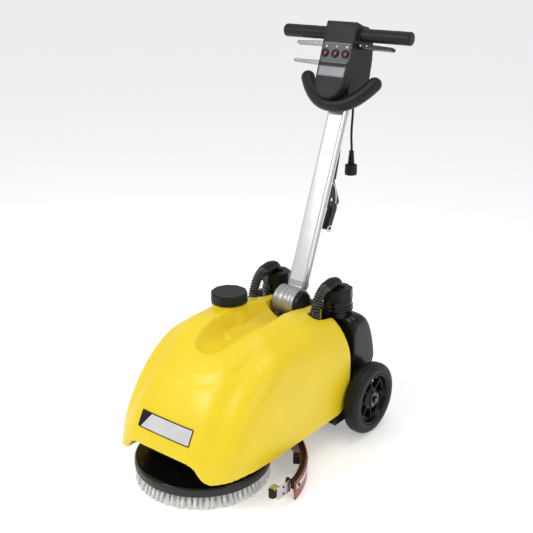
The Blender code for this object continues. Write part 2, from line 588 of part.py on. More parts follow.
def disc_profile(r, cy, cz, n=20, a0=0, a1=360):
    return [(cy + r * math.cos(math.radians(a0 + (a1 - a0) * k / n)), cz + r * math.sin(math.radians(a0 + (a1 - a0) * k / n)))
            for k in range(n + (0 if a1 - a0 == 360 else 1))]


base = prism([(0.342, 0.0523)] + [(0.400, 0.0523)] + disc_profile(0.041, FOLD_Y, FOLD_Z, 16, -40, 220), -0.035, 0.030, "X")
base = place(base, "hinge_base", CAST)
boolean(base, place(box(-0.0220, 0.0083, 0.30, 0.45, 0.292, 0.45), "c", None))
boolean(base, place(rod(0.0083, -0.05, 0.05, FOLD, "X", 20), "c", None))
place(rod(0.0080, -0.038, 0.0335, FOLD, "X", 20, 0.001), "hinge_bolt", STEEL)
for side, x0, x1, x2 in (("left", -0.0353, -0.0440, -0.0385), ("right", 0.0303, 0.0430, 0.0340)):
    e = math.copysign(0.003, x1)
    place(ring([(0, x1), (0.031, x1), (0.034, x1 - e), (0.034, x0), (0.0095, x0), (0.0095, x2), (0, x2)], 28, FOLD, "X", None, False),
          "hinge_cover_" + side, BLACK_ABS)

# ---------------------------------------------------------------- handle
# The handle's own frame: x across, s up the pole, n forward from the pole's axis.
D = Vector((0, math.sin(LEAN), math.cos(LEAN)))
N = Vector((0, -math.cos(LEAN), math.sin(LEAN)))
P0 = Vector((0, POLE_Y, POLE_Z))
HF = Matrix(((1, D.x, N.x, P0.x), (0, D.y, N.y, P0.y), (0, D.z, N.z, P0.z), (0, 0, 0, 1)))


def h(x, s, n):
    """Machine-frame point of the handle's (x, s, n)."""
    return tuple(HF @ Vector((x, s, n)))


def hplace(bm, name, mat, origin=FOLD, sharp=32.0):
    return place(bm, name, mat, origin, sharp, HF)


def section(half_x, half_n, wall):
    """Oval extrusion outline: round front and back, a narrow groove down each side."""
    hx, hn, r = half_x, half_n, (0.0070 if wall else 0.0095)
    pts = []
    if not wall:
        pts = [(hx, -0.0035), (hx - 0.0045, -0.0028), (hx - 0.0045, 0.0028), (hx, 0.0035)]
    q = rounded(-hx, hx, -hn, hn, r, 4)
    n = len(q) // 4
    right_top, left_top, left_bot, right_bot = q[:n], q[n:2 * n], q[2 * n:3 * n], q[3 * n:]
    if wall:
        return right_top + left_top + left_bot + right_bot
    return (pts + right_top + left_top + [(-a, -b) for a, b in pts] + left_bot + right_bot)


def extrude_s(outline, s0, s1, bm=None):
    """Outline in (x, n) pushed along s."""
    bm = bm or bmesh.new()
    lo = [bm.verts.new((x, s0, n)) for x, n in outline]
    hi = [bm.verts.new((x, s1, n)) for x, n in outline]
    faces = [bm.faces.new(lo), bm.faces.new(hi[::-1])]
    m = len(outline)
    for i in range(m):
        faces.append(bm.faces.new((lo[i], hi[i], hi[(i + 1) % m], lo[(i + 1) % m])))
    bmesh.ops.recalc_face_normals(bm, faces=faces)
    return bm


pole = hplace(extrude_s(section(0.0280, 0.0150, False), -0.018, 0.600), "pole", ALUMINIUM)
boolean(pole, hplace(extrude_s(section(0.0205, 0.0122, True), -0.05, 0.65), "c", None))

# arm of the folding joint: a disc between the base's two ears, a neck and a plug in the pole
fs, fn = (Vector(FOLD) - P0).dot(D), (Vector(FOLD) - P0).dot(N)
arm_prof = disc_profile(0.0405, fs, fn, 18, 60, 300)
clevis = bmesh.new()
prism([(a, b) for a, b in arm_prof] + [(-0.0183, -0.0135), (-0.0183, 0.0140)], -0.0217, 0.0080, "X", clevis)
clevis = hplace(clevis, "pole_clevis", CAST)
boolean(clevis, hplace(extrude_s(section(0.0200, 0.0117, True), -0.0212, 0.0350), "c", None), "UNION")
boolean(clevis, place(rod(0.0083, -0.05, 0.05, FOLD, "X", 20), "c", None))

# console housing
def face_outline(g=0.0):
    """Front outline of the console in (x, s): square top corners and a round lower end."""
    pts = [(-0.0490 + g, 0.6860 - g), (-0.0470 + g, 0.6915 - g), (0.0470 - g, 0.6915 - g), (0.0490 - g, 0.6860 - g), (0.0460 - g, 0.5500)]
    for k in range(1, 10):
        a = math.pi * k / 10
        pts.append(((0.0455 - g) * math.cos(a), 0.5370 - (0.0500 - g) * math.sin(a)))
    pts.append((-0.0460 + g, 0.5500))
    return pts


def slab(outline, n0, n1, bm=None):
    """Outline in (x, s) pushed along n."""
    bm = bm or bmesh.new()
    lo = [bm.verts.new((x, s, n0)) for x, s in outline]
    hi = [bm.verts.new((x, s, n1)) for x, s in outline]
    faces = [bm.faces.new(lo), bm.faces.new(hi[::-1])]
    m = len(outline)
    for i in range(m):
        faces.append(bm.faces.new((lo[i], hi[i], hi[(i + 1) % m], lo[(i + 1) % m])))
    bmesh.ops.recalc_face_normals(bm, faces=faces)
    return bm


def bumper_path(n=18):
    out = []
    for k in range(n + 1):
        t = -1 + 2 * k / n
        x = 0.107 * t * (1.25 - 0.25 * t * t)
        u = abs(x) / 0.107
        out.append((x, 0.4775 + 0.0680 * u ** 2.3, 0.0400 - 0.0150 * u ** 2))
    return out


def bar_hole():
    b = rod(0.0128, -0.25, 0.25, (0, GRIP_S, GRIP_N), "X", 20)
    return hplace(b, "c", None)


front = hplace(soften(slab(face_outline(), 0.0483, 0.0775), 0.003, 2, 50), "console_front", FACE_GREY)
boolean(front, hplace(slab(face_outline(0.003), 0.04, 0.0735), "c", None))
rear_prof = [(0.6910, 0.0480), (0.6960, 0.0200), (0.6860, -0.0080), (0.6200, -0.0340), (0.5600, -0.0440), (0.5150, -0.0460),
             (0.5060, -0.0400), (0.5060, 0.0480)]
rear = prism(rear_prof, -0.0460, 0.0460, "X")
rear = hplace(soften(rear, 0.004, 2, 30), "console_rear", BLACK_ABS)
inner = prism([(0.6880, 0.0600), (0.6925, 0.0200), (0.6830, -0.0055), (0.6190, -0.0305), (0.5600, -0.0403), (0.5180, -0.0423),
               (0.5095, -0.0365), (0.5095, 0.0600)], -0.0425, 0.0425, "X")
boolean(rear, hplace(inner, "c", None))
boolean(rear, hplace(extrude_s(section(0.0283, 0.0153, True), 0.45, 0.603), "c", None))
for part in (front, rear):
    boolean(part, bar_hole())
    boolean(part, hplace(sweep(bumper_path(), 0.0200, 14), "c", None))
for x in (-0.0320, 0.0, 0.0320):
    boolean(front, hplace(rod(0.0088, 0.06, 0.09, (x, 0.6050, 0), "Z", 20), "c", None))
boolean(rear, place(rod(0.0063, 0.83, 0.885, (CORD_X, CORD_Y, 0), "Z", 16), "c", None))

handlebar = rod(0.0125, -0.1830, 0.1830, (0, GRIP_S, GRIP_N), "X", 20)
hplace(handlebar, "handlebar", STEEL)
for s, side in ((-1, "left"), (1, "right")):
    a, b, e = 0.0530, 0.1985, 0.1833
    prof = [(0, s * e), (0.0128, s * e), (0.0128, s * a), (0.0172, s * a), (0.0178, s * (a + 0.003)), (0.0178, s * (b - 0.004)),
            (0.0140, s * b), (0, s * b)]
    hplace(ring(prof, 20, (0, GRIP_S, GRIP_N), "X", None, False), "grip_" + side, FOAM)
hplace(sweep(bumper_path(), 0.0195, 14, None, 3), "bumper_handle", FOAM)

# switches and plates on the console's face
hplace(soften(slab(rounded(-0.0500 + 0.0045, 0.0455, 0.5820, 0.6330, 0.008, 2), 0.0778, 0.0786), 0.0002, 1), "switch_panel", SILVER)
panel = bpy.data.objects["switch_panel"]
for x in (-0.0320, 0.0, 0.0320):
    boolean(panel, hplace(rod(0.0088, 0.06, 0.09, (x, 0.6050, 0), "Z", 20), "c", None))
SWITCH_N = 0.0700
for x, side in ((-0.0320, "left"), (0.0, "middle"), (0.0320, "right")):
    r = rod(0.0078, 0.0660, 0.0832, (x, 0.6050, 0), "Z", 16, 0.0008)
    hplace(r, "rocker_" + side, RED_LENS, h(x, 0.6050, SWITCH_N))
hplace(soften(slab(rounded(-0.0420, 0.0420, 0.5440, 0.5710, 0.002, 1), 0.0778, 0.0788), 0.0002, 1), "console_plate", SILVER)

# triggers under the grips: each swings up about a cross pin beside the console
for s, side, mat in ((-1, "left", STEEL), (1, "right", BLACK_ABS)):
    x0, x1 = s * 0.0500, s * (0.1500 if s < 0 else 0.1560)
    prof = [(x0, 0.6425), (x0, 0.6315), (x0 + s * 0.018, 0.6300), (x1 - s * 0.004, 0.6295), (x1, 0.6320), (x1, 0.6370),
            (x1 - s * 0.004, 0.6385), (x0 + s * 0.030, 0.6420)]
    tr = slab(prof, GRIP_N - 0.0075, GRIP_N + 0.0075)
    tr = hplace(soften(tr, 0.001, 1), "trigger_" + side, mat, h(s * 0.0560, 0.6370, GRIP_N))
    boolean(tr, hplace(rod(0.0025, 0, 0.10, (s * 0.0560, 0.6370, 0), "Z", 12), "c", None))
console = bpy.data.objects["console_rear"]
for s in (-1, 1):
    for n0, n1 in ((GRIP_N - 0.0120, GRIP_N - 0.0080),):
        lug = slab([(s * 0.0440, 0.6310), (s * 0.0610, 0.6310), (s * 0.0610, 0.6430), (s * 0.0440, 0.6460)], n0, n1)
        boolean(console, hplace(lug, "c", None), "UNION")
    pin = rod(0.0022, GRIP_N - 0.0125, GRIP_N + 0.0095, (s * 0.0560, 0.6370, 0), "Z", 12)
    boolean(console, hplace(pin, "c", None), "UNION")

# tilt release: a flat bar on the left side
TILT = h(-0.0520, 0.5880, 0.0300)
tl = slab([(-0.0475, 0.5800), (-0.0475, 0.5960), (-0.0640, 0.5960), (-0.1600, 0.5935), (-0.1640, 0.5910), (-0.1640, 0.5870),
           (-0.1600, 0.5845), (-0.0640, 0.5800)], 0.0270, 0.0330)
hplace(soften(tl, 0.0012, 1), "tilt_lever", CHROME, TILT)

# squeegee lift: bracket on the back of the pole, lever, pin and cable
LIFT_S, LIFT_N = 0.2320, -0.0400
br = extrude_s([(-0.0180, -0.0154), (0.0180, -0.0154), (0.0180, -0.0204), (-0.0180, -0.0204)], 0.2050, 0.3680)
br = hplace(br, "lift_bracket", BLACK_STEEL)
for x0, x1 in ((-0.0130, -0.0105), (0.0105, 0.0130)):
    gus = prism([(0.3100, -0.0190), (0.2120, -0.0190), (0.2150, -0.0600), (0.2260, -0.0860), (0.2340, -0.0860), (0.2900, -0.0330)],
                x0, x1, "X")
    boolean(br, hplace(gus, "c", None), "UNION")
boolean(br, hplace(rod(0.0035, -0.0160, 0.0160, (0, LIFT_S, LIFT_N), "X", 14, 0.0006), "c", None), "UNION")
LIFT = h(0, LIFT_S, LIFT_N)
lv = prism([(0.2450, -0.0300), (0.2450, -0.0500), (0.2360, -0.0780), (0.2150, -0.0900), (0.1600, -0.0840), (0.1480, -0.0790),
            (0.1480, -0.0640), (0.1600, -0.0640), (0.2060, -0.0680), (0.2180, -0.0560), (0.2200, -0.0300)], -0.0100, 0.0100, "X")
lv = hplace(soften(lv, 0.0015, 1, 50), "lift_lever", BLACK_STEEL, LIFT)
boolean(lv, hplace(rod(0.0038, -0.03, 0.03, (0, LIFT_S, LIFT_N), "X", 14), "c", None))
cab = smooth_path([(0, 0.2050, -0.0230), (-0.006, 0.170, -0.0300), (-0.0150, 0.120, -0.0360), (-0.0200, 0.070, -0.0320),
                   (-0.0200, 0.030, -0.0230), (-0.0200, 0.0, -0.0185)], 0.014)
hplace(sweep(cab, 0.0030, 8), "lift_cable_upper", RUBBER)
low = smooth_path([(-0.0392, 0.4030, 0.330), (-0.0392, 0.4050, 0.300), (-0.0392, 0.4050, 0.220), (-0.0392, 0.4000, 0.140), (-0.0392, 0.388, 0.085)], 0.03)
place(sweep(low, 0.0030, 8), "lift_cable_lower", RUBBER)

# ---------------------------------------------------------------- power lead with its connector
CORD_TOP, CORD_END = 0.8444, 0.7260
place(ring([(0, 0.8447), (0.0046, 0.8447), (0.0060, 0.8620), (0.0060, 0.8840), (0, 0.8840)], 16, (CORD_X, CORD_Y, 0), "Z", None, False),
      "cord_gland", RUBBER)
route = [(CORD_X, CORD_Y, CORD_TOP), (CORD_X, CORD_Y, 0.826), (CORD_X - 0.0012, CORD_Y - 0.001, 0.790), (CORD_X - 0.0012, CORD_Y - 0.001, 0.758),
         (CORD_X, CORD_Y, 0.738), (CORD_X, CORD_Y, CORD_END)]
pts = smooth_path(route, 0.012)
cu = bpy.data.curves.new("power_cord", "CURVE")
cu.dimensions, cu.bevel_depth, cu.bevel_resolution, cu.use_fill_caps = "3D", 0.0033, 2, True
sp = cu.splines.new("POLY")
sp.points.add(len(pts) - 1)
for q, p in zip(sp.points, pts):
    q.co = (p.x, p.y - YC, p.z, 1.0)
cu.materials.append(RUBBER)
bpy.context.scene.collection.objects.link(bpy.data.objects.new("power_cord", cu))
place(ring([(0, 0.7257), (0.0060, 0.7257), (0.0088, 0.7175), (0.0100, 0.6860), (0.0165, 0.6850), (0.0170, 0.6820), (0.0170, 0.6580),
            (0.0160, 0.6565), (0, 0.6565)], 20, (CORD_X, CORD_Y, 0), "Z", None, False), "cord_connector", BLACK_ABS, (CORD_X, CORD_Y, 0.7257))
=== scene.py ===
import math
import random

import bmesh
import bpy
import numpy as np
from mathutils import Matrix, Vector
from mathutils.bvhtree import BVHTree


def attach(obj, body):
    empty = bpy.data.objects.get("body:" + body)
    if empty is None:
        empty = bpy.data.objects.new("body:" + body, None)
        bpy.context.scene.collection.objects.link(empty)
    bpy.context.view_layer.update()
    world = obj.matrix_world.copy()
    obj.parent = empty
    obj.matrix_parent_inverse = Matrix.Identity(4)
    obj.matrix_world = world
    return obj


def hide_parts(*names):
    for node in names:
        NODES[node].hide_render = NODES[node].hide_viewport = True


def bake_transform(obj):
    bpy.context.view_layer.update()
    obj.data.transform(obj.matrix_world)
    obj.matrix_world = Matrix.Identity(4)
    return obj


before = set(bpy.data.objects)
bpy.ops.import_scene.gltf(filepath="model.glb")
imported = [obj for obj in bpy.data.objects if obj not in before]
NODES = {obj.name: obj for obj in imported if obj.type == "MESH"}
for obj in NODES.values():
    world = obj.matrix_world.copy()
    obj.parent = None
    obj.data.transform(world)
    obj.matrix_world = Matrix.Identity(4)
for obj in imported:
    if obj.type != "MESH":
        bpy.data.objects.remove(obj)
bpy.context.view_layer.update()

YC, GAP = 0.2432, 0.0003
WHEEL_R, WHEEL_Y, WHEEL_W, WHEEL_X = 0.100, 0.4347, 0.045, 0.218
FOLD = (0.0, 0.370, 0.350)
LEAN = math.radians(21.3)
TANK_W, TANK_TOP, NOSE_Y, REAR_Y = 0.195, 0.382, 0.120, 0.392
NECK_X, NECK_Y = 0.105, 0.440
CAP_X, CAP_Y = -0.080, 0.203
HOSE_Y = 0.331
CORD_X, CORD_Y = 0.014, 0.625
GRIP_S, GRIP_N = 0.666, 0.048

D = Vector((0, math.sin(LEAN), math.cos(LEAN)))
N = Vector((0, -math.cos(LEAN), math.sin(LEAN)))
P0 = Vector((0, 0.406, 0.404))
HF = Matrix(((1, D.x, N.x, P0.x), (0, D.y, N.y, P0.y), (0, D.z, N.z, P0.z), (0, 0, 0, 1)))
SHIFT = Matrix.Translation((0, -YC, 0))


# ------------------------------------------------------------------ camera first
def camera():
    az, el = math.radians(38.334), math.radians(20.11)
    b = Vector((math.sin(az) * math.cos(el), -math.cos(az) * math.cos(el), math.sin(el)))
    cd = bpy.data.cameras.new("camera")
    cd.lens, cd.sensor_width, cd.sensor_height = 60.68, 36.0, 36.0
    cd.dof.use_dof = False
    ob = bpy.data.objects.new("camera", cd)
    ob.location = (1.3574, -1.4566 - YC, 1.2834)
    ob.rotation_mode = "QUATERNION"
    ob.rotation_quaternion = (-b).to_track_quat("-Z", "Y")
    bpy.context.scene.collection.objects.link(ob)
    bpy.context.scene.camera = ob


camera()


# ------------------------------------------------------------------ materials
def new_mat(name, colour, rough, metal=0.0, spec=0.5, coat=0.0, coat_rough=0.1, tone=0.10, tone_scale=9.0,
            grain=0.0, grain_scale=900.0, bump=0.10, rough_var=0.08, dark=(0, 0, 0), dust=0.0, stretch=None, sheen=0.0):
    """Principled material whose colour, roughness and bump vary by procedural noise in object space."""
    m = bpy.data.materials.new(name)
    m.use_nodes = True
    nt = m.node_tree
    p = nt.nodes["Principled BSDF"]
    p.inputs["Metallic"].default_value = metal
    p.inputs["Specular IOR Level"].default_value = spec
    p.inputs["Coat Weight"].default_value = coat
    p.inputs["Coat Roughness"].default_value = coat_rough
    if sheen:
        p.inputs["Sheen Weight"].default_value = sheen
        p.inputs["Sheen Roughness"].default_value = 0.5
    tc = nt.nodes.new("ShaderNodeTexCoord")
    src = tc.outputs["Object"]
    if stretch:
        mp = nt.nodes.new("ShaderNodeMapping")
        mp.inputs["Scale"].default_value = stretch
        mp.inputs["Rotation"].default_value = (-LEAN, 0, 0) if stretch[2] < stretch[0] else (0, 0, 0)
        nt.links.new(src, mp.inputs["Vector"])
        src = mp.outputs["Vector"]

    def noise(scale, detail=4.0, rough_=0.55, vec=src):
        n = nt.nodes.new("ShaderNodeTexNoise")
        n.inputs["Scale"].default_value = scale
        n.inputs["Detail"].default_value = detail
        n.inputs["Roughness"].default_value = rough_
        nt.links.new(vec, n.inputs["Vector"])
        return n.outputs["Fac"]

    def ramp(fac, lo, hi, a, b):
        r = nt.nodes.new("ShaderNodeMapRange")
        r.inputs["From Min"].default_value, r.inputs["From Max"].default_value = lo, hi
        r.inputs["To Min"].default_value, r.inputs["To Max"].default_value = a, b
        nt.links.new(fac, r.inputs["Value"])
        return r.outputs["Result"]

    def mix(fac, a, b):
        x = nt.nodes.new("ShaderNodeMix")
        x.data_type = "RGBA"
        if isinstance(fac, float):
            x.inputs[0].default_value = fac
        else:
            nt.links.new(fac, x.inputs[0])
        for i, v in ((6, a), (7, b)):
            if isinstance(v, tuple):
                x.inputs[i].default_value = (*v, 1.0)
            else:
                nt.links.new(v, x.inputs[i])
        return x.outputs[2]
    macro = noise(tone_scale, 3.0)
    low = tuple(c * (1 - tone) for c in colour)
    high = tuple(min(1.0, c * (1 + tone * 0.7)) for c in colour)
    col = mix(ramp(macro, 0.32, 0.68, 0.0, 1.0), low, high)
    fine = noise(grain_scale, 2.0)
    if grain:
        col = mix(ramp(fine, 0.35, 0.75, 0.0, grain), col, tuple(min(1, c * 1.9 + 0.03) for c in colour))
    if dust:
        spots = noise(tone_scale * 7.0, 8.0, 0.75)
        col = mix(ramp(spots, 0.58, 0.80, 0.0, dust), col, (0.42, 0.40, 0.37))
    nt.links.new(col, p.inputs["Base Color"])
    smear = noise(tone_scale * 2.4, 5.0, 0.65)
    nt.links.new(ramp(smear, 0.25, 0.75, max(0.03, rough - rough_var), min(1.0, rough + rough_var)), p.inputs["Roughness"])
    if bump:
        b = nt.nodes.new("ShaderNodeBump")
        b.inputs["Strength"].default_value = bump
        b.inputs["Distance"].default_value = 0.0004
        nt.links.new(fine, b.inputs["Height"])
        b2 = nt.nodes.new("ShaderNodeBump")
        b2.inputs["Strength"].default_value = min(1.0, bump * 0.8)
        b2.inputs["Distance"].default_value = 0.0012
        nt.links.new(noise(tone_scale * 5.0, 2.0), b2.inputs["Height"])
        nt.links.new(b2.outputs["Normal"], b.inputs["Normal"])
        nt.links.new(b.outputs["Normal"], p.inputs["Normal"])
    m["mix"] = 0
    return m


YELLOW = new_mat("m_yellow", (0.810, 0.605, 0.014), 0.38, spec=0.36, coat=0.10, coat_rough=0.32, tone=0.045, tone_scale=5.0, grain=0.0,
                 grain_scale=1300, bump=0.10, rough_var=0.05)
BLACK_PE = new_mat("m_black_tank", (0.0045, 0.0050, 0.0055), 0.24, spec=0.26, tone=0.25, tone_scale=8, bump=0.10, grain_scale=700, rough_var=0.06)
BLACK_ABS = new_mat("m_black_plastic", (0.0055, 0.0058, 0.0062), 0.38, spec=0.24, tone=0.2, tone_scale=14, grain=0.10, grain_scale=1500, bump=0.22)
GLOSS = new_mat("m_black_gloss", (0.0045, 0.0040, 0.0035), 0.14, spec=0.35, coat=0.10, coat_rough=0.06, tone=0.25, tone_scale=11, bump=0.05, dust=0.03)
BAND = new_mat("m_grey_band", (0.0160, 0.0165, 0.0175), 0.40, spec=0.30, tone=0.18, tone_scale=16, grain=0.10, grain_scale=1400, bump=0.18, dust=0.06)
FACE = new_mat("m_face", (0.0100, 0.0108, 0.0125), 0.42, spec=0.22, tone=0.15, tone_scale=16, grain=0.15, grain_scale=1600, bump=0.30)
FOAM = new_mat("m_foam", (0.0040, 0.0042, 0.0048), 0.42, spec=0.26, tone=0.25, tone_scale=22, grain=0.30, grain_scale=1900, bump=0.55, sheen=0.03)
RUBBER = new_mat("m_rubber", (0.0045, 0.0045, 0.0050), 0.45, spec=0.25, tone=0.2, tone_scale=20, grain=0.10, bump=0.2)
TYRE = new_mat("m_tyre", (0.0055, 0.0055, 0.0060), 0.50, spec=0.26, tone=0.25, tone_scale=14, grain=0.15, grain_scale=900, bump=0.35, dust=0.05)
RIM = new_mat("m_rim", (0.0045, 0.0045, 0.0050), 0.30, spec=0.30, tone=0.25, tone_scale=18, bump=0.15)
NYLON = new_mat("m_nylon", (0.86, 0.855, 0.825), 0.48, spec=0.4, tone=0.16, tone_scale=60, bump=0.1, rough_var=0.08)
PU = new_mat("m_red_pu", (0.275, 0.052, 0.024), 0.38, spec=0.45, tone=0.16, tone_scale=24, grain=0.06, bump=0.15)
ALU = new_mat("m_pole", (0.80, 0.805, 0.815), 0.30, metal=0.85, tone=0.05, tone_scale=7, grain_scale=260, bump=0.05, rough_var=0.05, stretch=(1, 1, 0.03))
CAST = new_mat("m_cast", (0.40, 0.40, 0.41), 0.42, metal=0.75, tone=0.10, tone_scale=26, grain=0.10, grain_scale=1200, bump=0.20, rough_var=0.08)
CHROME = new_mat("m_chrome", (0.78, 0.79, 0.81), 0.12, metal=1.0, tone=0.05, tone_scale=30, bump=0.03, rough_var=0.04)
STEEL = new_mat("m_steel", (0.50, 0.505, 0.52), 0.30, metal=1.0, tone=0.10, tone_scale=30, grain_scale=900, bump=0.08, rough_var=0.08)
BLACK_STEEL = new_mat("m_black_steel", (0.0055, 0.0055, 0.0060), 0.34, spec=0.30, tone=0.2, tone_scale=18, grain_scale=1500, bump=0.25)
LENS = new_mat("m_lens", (0.125, 0.0025, 0.0080), 0.16, spec=0.6, coat=0.4, coat_rough=0.05, tone=0.35, tone_scale=120, bump=0.05)
SILVER = new_mat("m_silver", (0.185, 0.190, 0.200), 0.36, metal=0.25, tone=0.05, tone_scale=30, grain=0.06, grain_scale=1700, bump=0.06)
LABEL = new_mat("m_plate_silver", (0.60, 0.605, 0.62), 0.34, metal=0.15, tone=0.05, tone_scale=22, grain=0.05, grain_scale=1500, bump=0.05)
PANEL = new_mat("m_panel", (0.060, 0.063, 0.070), 0.40, metal=0.2, tone=0.08, tone_scale=30, grain=0.06, grain_scale=1700, bump=0.08)
WHITE = new_mat("m_white_print", (0.72, 0.73, 0.75), 0.45, tone=0.06, tone_scale=60, bump=0.02)
HOSE = new_mat("m_hose", (0.0040, 0.0040, 0.0044), 0.13, spec=0.85, tone=0.2, tone_scale=30, bump=0.05, rough_var=0.04)
GUN = new_mat("m_gun", (0.075, 0.078, 0.084), 0.26, metal=0.8, tone=0.10, tone_scale=40, bump=0.05, rough_var=0.05)
ZINC = new_mat("m_zinc", (0.26, 0.265, 0.275), 0.34, metal=0.85, tone=0.10, tone_scale=30, grain_scale=900, bump=0.08, rough_var=0.06)
MOTOR = new_mat("m_motor", (0.06, 0.066, 0.078), 0.40, metal=0.3, tone=0.15, tone_scale=16, grain=0.1, bump=0.15)


# ------------------------------------------------------------------ helpers
def add(bm, name, mat, body, replaces=(), smooth=38.0, handle=False, bevel=0.0, subsurf=0):
    if handle:
        bm.transform(HF)
    bm.transform(SHIFT)
    me = bpy.data.meshes.new(name)
    bm.to_mesh(me)
    bm.free()
    me.shade_smooth()
    me.set_sharp_from_angle(angle=math.radians(smooth))
    ob = bpy.data.objects.new(name, me)
    for m in (mat if isinstance(mat, (list, tuple)) else [mat]):
        me.materials.append(m)
    bpy.context.scene.collection.objects.link(ob)
    if bevel:
        b = ob.modifiers.new("edge", "BEVEL")
        b.width, b.segments, b.limit_method, b.angle_limit = bevel, 3, "ANGLE", math.radians(35)
        b.harden_normals = True
    if subsurf:
        s = ob.modifiers.new("round", "SUBSURF")
        s.levels = s.render_levels = subsurf
    if body:
        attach(ob, body)
        if replaces:
            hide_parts(*replaces)
    return ob


def temp(bm):
    me = bpy.data.meshes.new("t")
    bm.to_mesh(me)
    bm.free()
    ob = bpy.data.objects.new("t", me)
    bpy.context.scene.collection.objects.link(ob)
    return ob


def bake(ob):
    bpy.context.view_layer.update()
    dg = bpy.context.evaluated_depsgraph_get()
    me = bpy.data.meshes.new_from_object(ob.evaluated_get(dg))
    ob.modifiers.clear()
    old = ob.data
    ob.data = me
    bpy.data.meshes.remove(old)
    return ob


def boolean(ob, cutter, op="DIFFERENCE"):
    mod = ob.modifiers.new("cut", "BOOLEAN")
    mod.object, mod.operation, mod.solver = cutter, op, "EXACT"
    bake(ob)
    tool = cutter.data
    bpy.data.objects.remove(cutter, do_unlink=True)
    bpy.data.meshes.remove(tool)
    return ob


def finish_temp(ob):
    bm = bmesh.new()
    bm.from_mesh(ob.data)
    me = ob.data
    bpy.data.objects.remove(ob, do_unlink=True)
    bpy.data.meshes.remove(me)
    return bm


def prism(points, lo, hi, axis="Z", bm=None):
    bm = bm or bmesh.new()

    def p(a, b, c):
        return {"X": (c, a, b), "Y": (a, c, b), "Z": (a, b, c)}[axis]
    low = [bm.verts.new(p(a, b, lo)) for a, b in points]
    top = [bm.verts.new(p(a, b, hi)) for a, b in points]
    faces = [bm.faces.new(low), bm.faces.new(top[::-1])]
    n = len(points)
    for i in range(n):
        faces.append(bm.faces.new((low[i], top[i], top[(i + 1) % n], low[(i + 1) % n])))
    bmesh.ops.recalc_face_normals(bm, faces=faces)
    return bm


def slab(outline, n0, n1, bm=None):
    return prism(outline, n0, n1, "Z", bm)


def box(x0, x1, y0, y1, z0, z1, bm=None):
    return prism([(x0, y0), (x1, y0), (x1, y1), (x0, y1)], z0, z1, "Z", bm)


def rounded(x0, x1, y0, y1, r, n=6):
    out = []
    for cx, cy, a0 in ((x1 - r, y1 - r, 0), (x0 + r, y1 - r, 90), (x0 + r, y0 + r, 180), (x1 - r, y0 + r, 270)):
        for k in range(n + 1):
            a = math.radians(a0 + 90 * k / n)
            out.append((cx + r * math.cos(a), cy + r * math.sin(a)))
    return out


def ring(profile, segments, centre=(0, 0, 0), axis="Z", bm=None, closed=True, lobe=None):
    bm = bm or bmesh.new()
    cx, cy, cz = centre

    def p(r, h, t):
        if lobe:
            r = r * lobe(t, r)
        c, s = r * math.cos(t), r * math.sin(t)
        return {"Z": (cx + c, cy + s, cz + h), "X": (cx + h, cy + c, cz + s), "Y": (cx + s, cy + h, cz + c)}[axis]
    rows = []
    for r, h in profile:
        if r < 1e-6:
            rows.append([bm.verts.new(p(0, h, 0))])
        else:
            rows.append([bm.verts.new(p(r, h, 2 * math.pi * i / segments)) for i in range(segments)])
    faces = []
    m = len(rows)
    for j in range(m if closed else m - 1):
        a, b = rows[j], rows[(j + 1) % m]
        if len(a) == 1 and len(b) == 1:
            continue
        for i in range(segments):
            k = (i + 1) % segments
            if len(a) == 1:
                faces.append(bm.faces.new((a[0], b[i], b[k])))
            elif len(b) == 1:
                faces.append(bm.faces.new((a[i], b[0], a[k])))
            else:
                faces.append(bm.faces.new((a[i], b[i], b[k], a[k])))
    bmesh.ops.recalc_face_normals(bm, faces=faces)
    return bm


def fillet(profile, r=0.001, n=3, closed=True):
    """Round the corners of a turned profile."""
    out = []
    m = len(profile)
    for i, (a, h) in enumerate(profile):
        if not closed and i in (0, m - 1):
            out.append((a, h))
            continue
        p = Vector((a, h))
        u = Vector(profile[i - 1]) - p
        v = Vector(profile[(i + 1) % m]) - p
        k = min(r, u.length * 0.45, v.length * 0.45)
        u.normalize()
        v.normalize()
        q0, q1 = p + u * k, p + v * k
        for j in range(n + 1):
            t = j / n
            q = q0 * (1 - t) ** 2 + p * 2 * t * (1 - t) + q1 * t * t
            out.append((max(0.0, q.x), q.y))
    return out


def rod(r, h0, h1, centre, axis="Z", segments=32, edge=0.0006, bm=None):
    prof = fillet([(0, h0), (r, h0), (r, h1), (0, h1)], edge, 3, False)
    return ring(prof, segments, centre, axis, bm, closed=False)


def smooth_path(points, step):
    p = [Vector(q) for q in points]
    p = [p[0] * 2 - p[1]] + p + [p[-1] * 2 - p[-2]]
    out = []
    for i in range(1, len(p) - 2):
        n = max(1, round((p[i + 1] - p[i]).length / step))
        for k in range(n):
            t = k / n
            out.append(0.5 * (2 * p[i] + (p[i + 1] - p[i - 1]) * t
                              + (2 * p[i - 1] - 5 * p[i] + 4 * p[i + 1] - p[i + 2]) * t * t
                              + (3 * p[i] - p[i - 1] - 3 * p[i + 1] + p[i + 2]) * t ** 3))
    out.append(p[-2])
    return out


def resample(pts, step):
    """Points at an even step along a polyline."""
    d = [0.0]
    for a, b in zip(pts, pts[1:]):
        d.append(d[-1] + (b - a).length)
    n = max(2, round(d[-1] / step))
    out, j = [], 0
    for k in range(n + 1):
        s = d[-1] * k / n
        while j < len(d) - 2 and d[j + 1] < s:
            j += 1
        t = (s - d[j]) / max(1e-9, d[j + 1] - d[j])
        out.append(pts[j].lerp(pts[j + 1], min(1.0, t)))
    return out


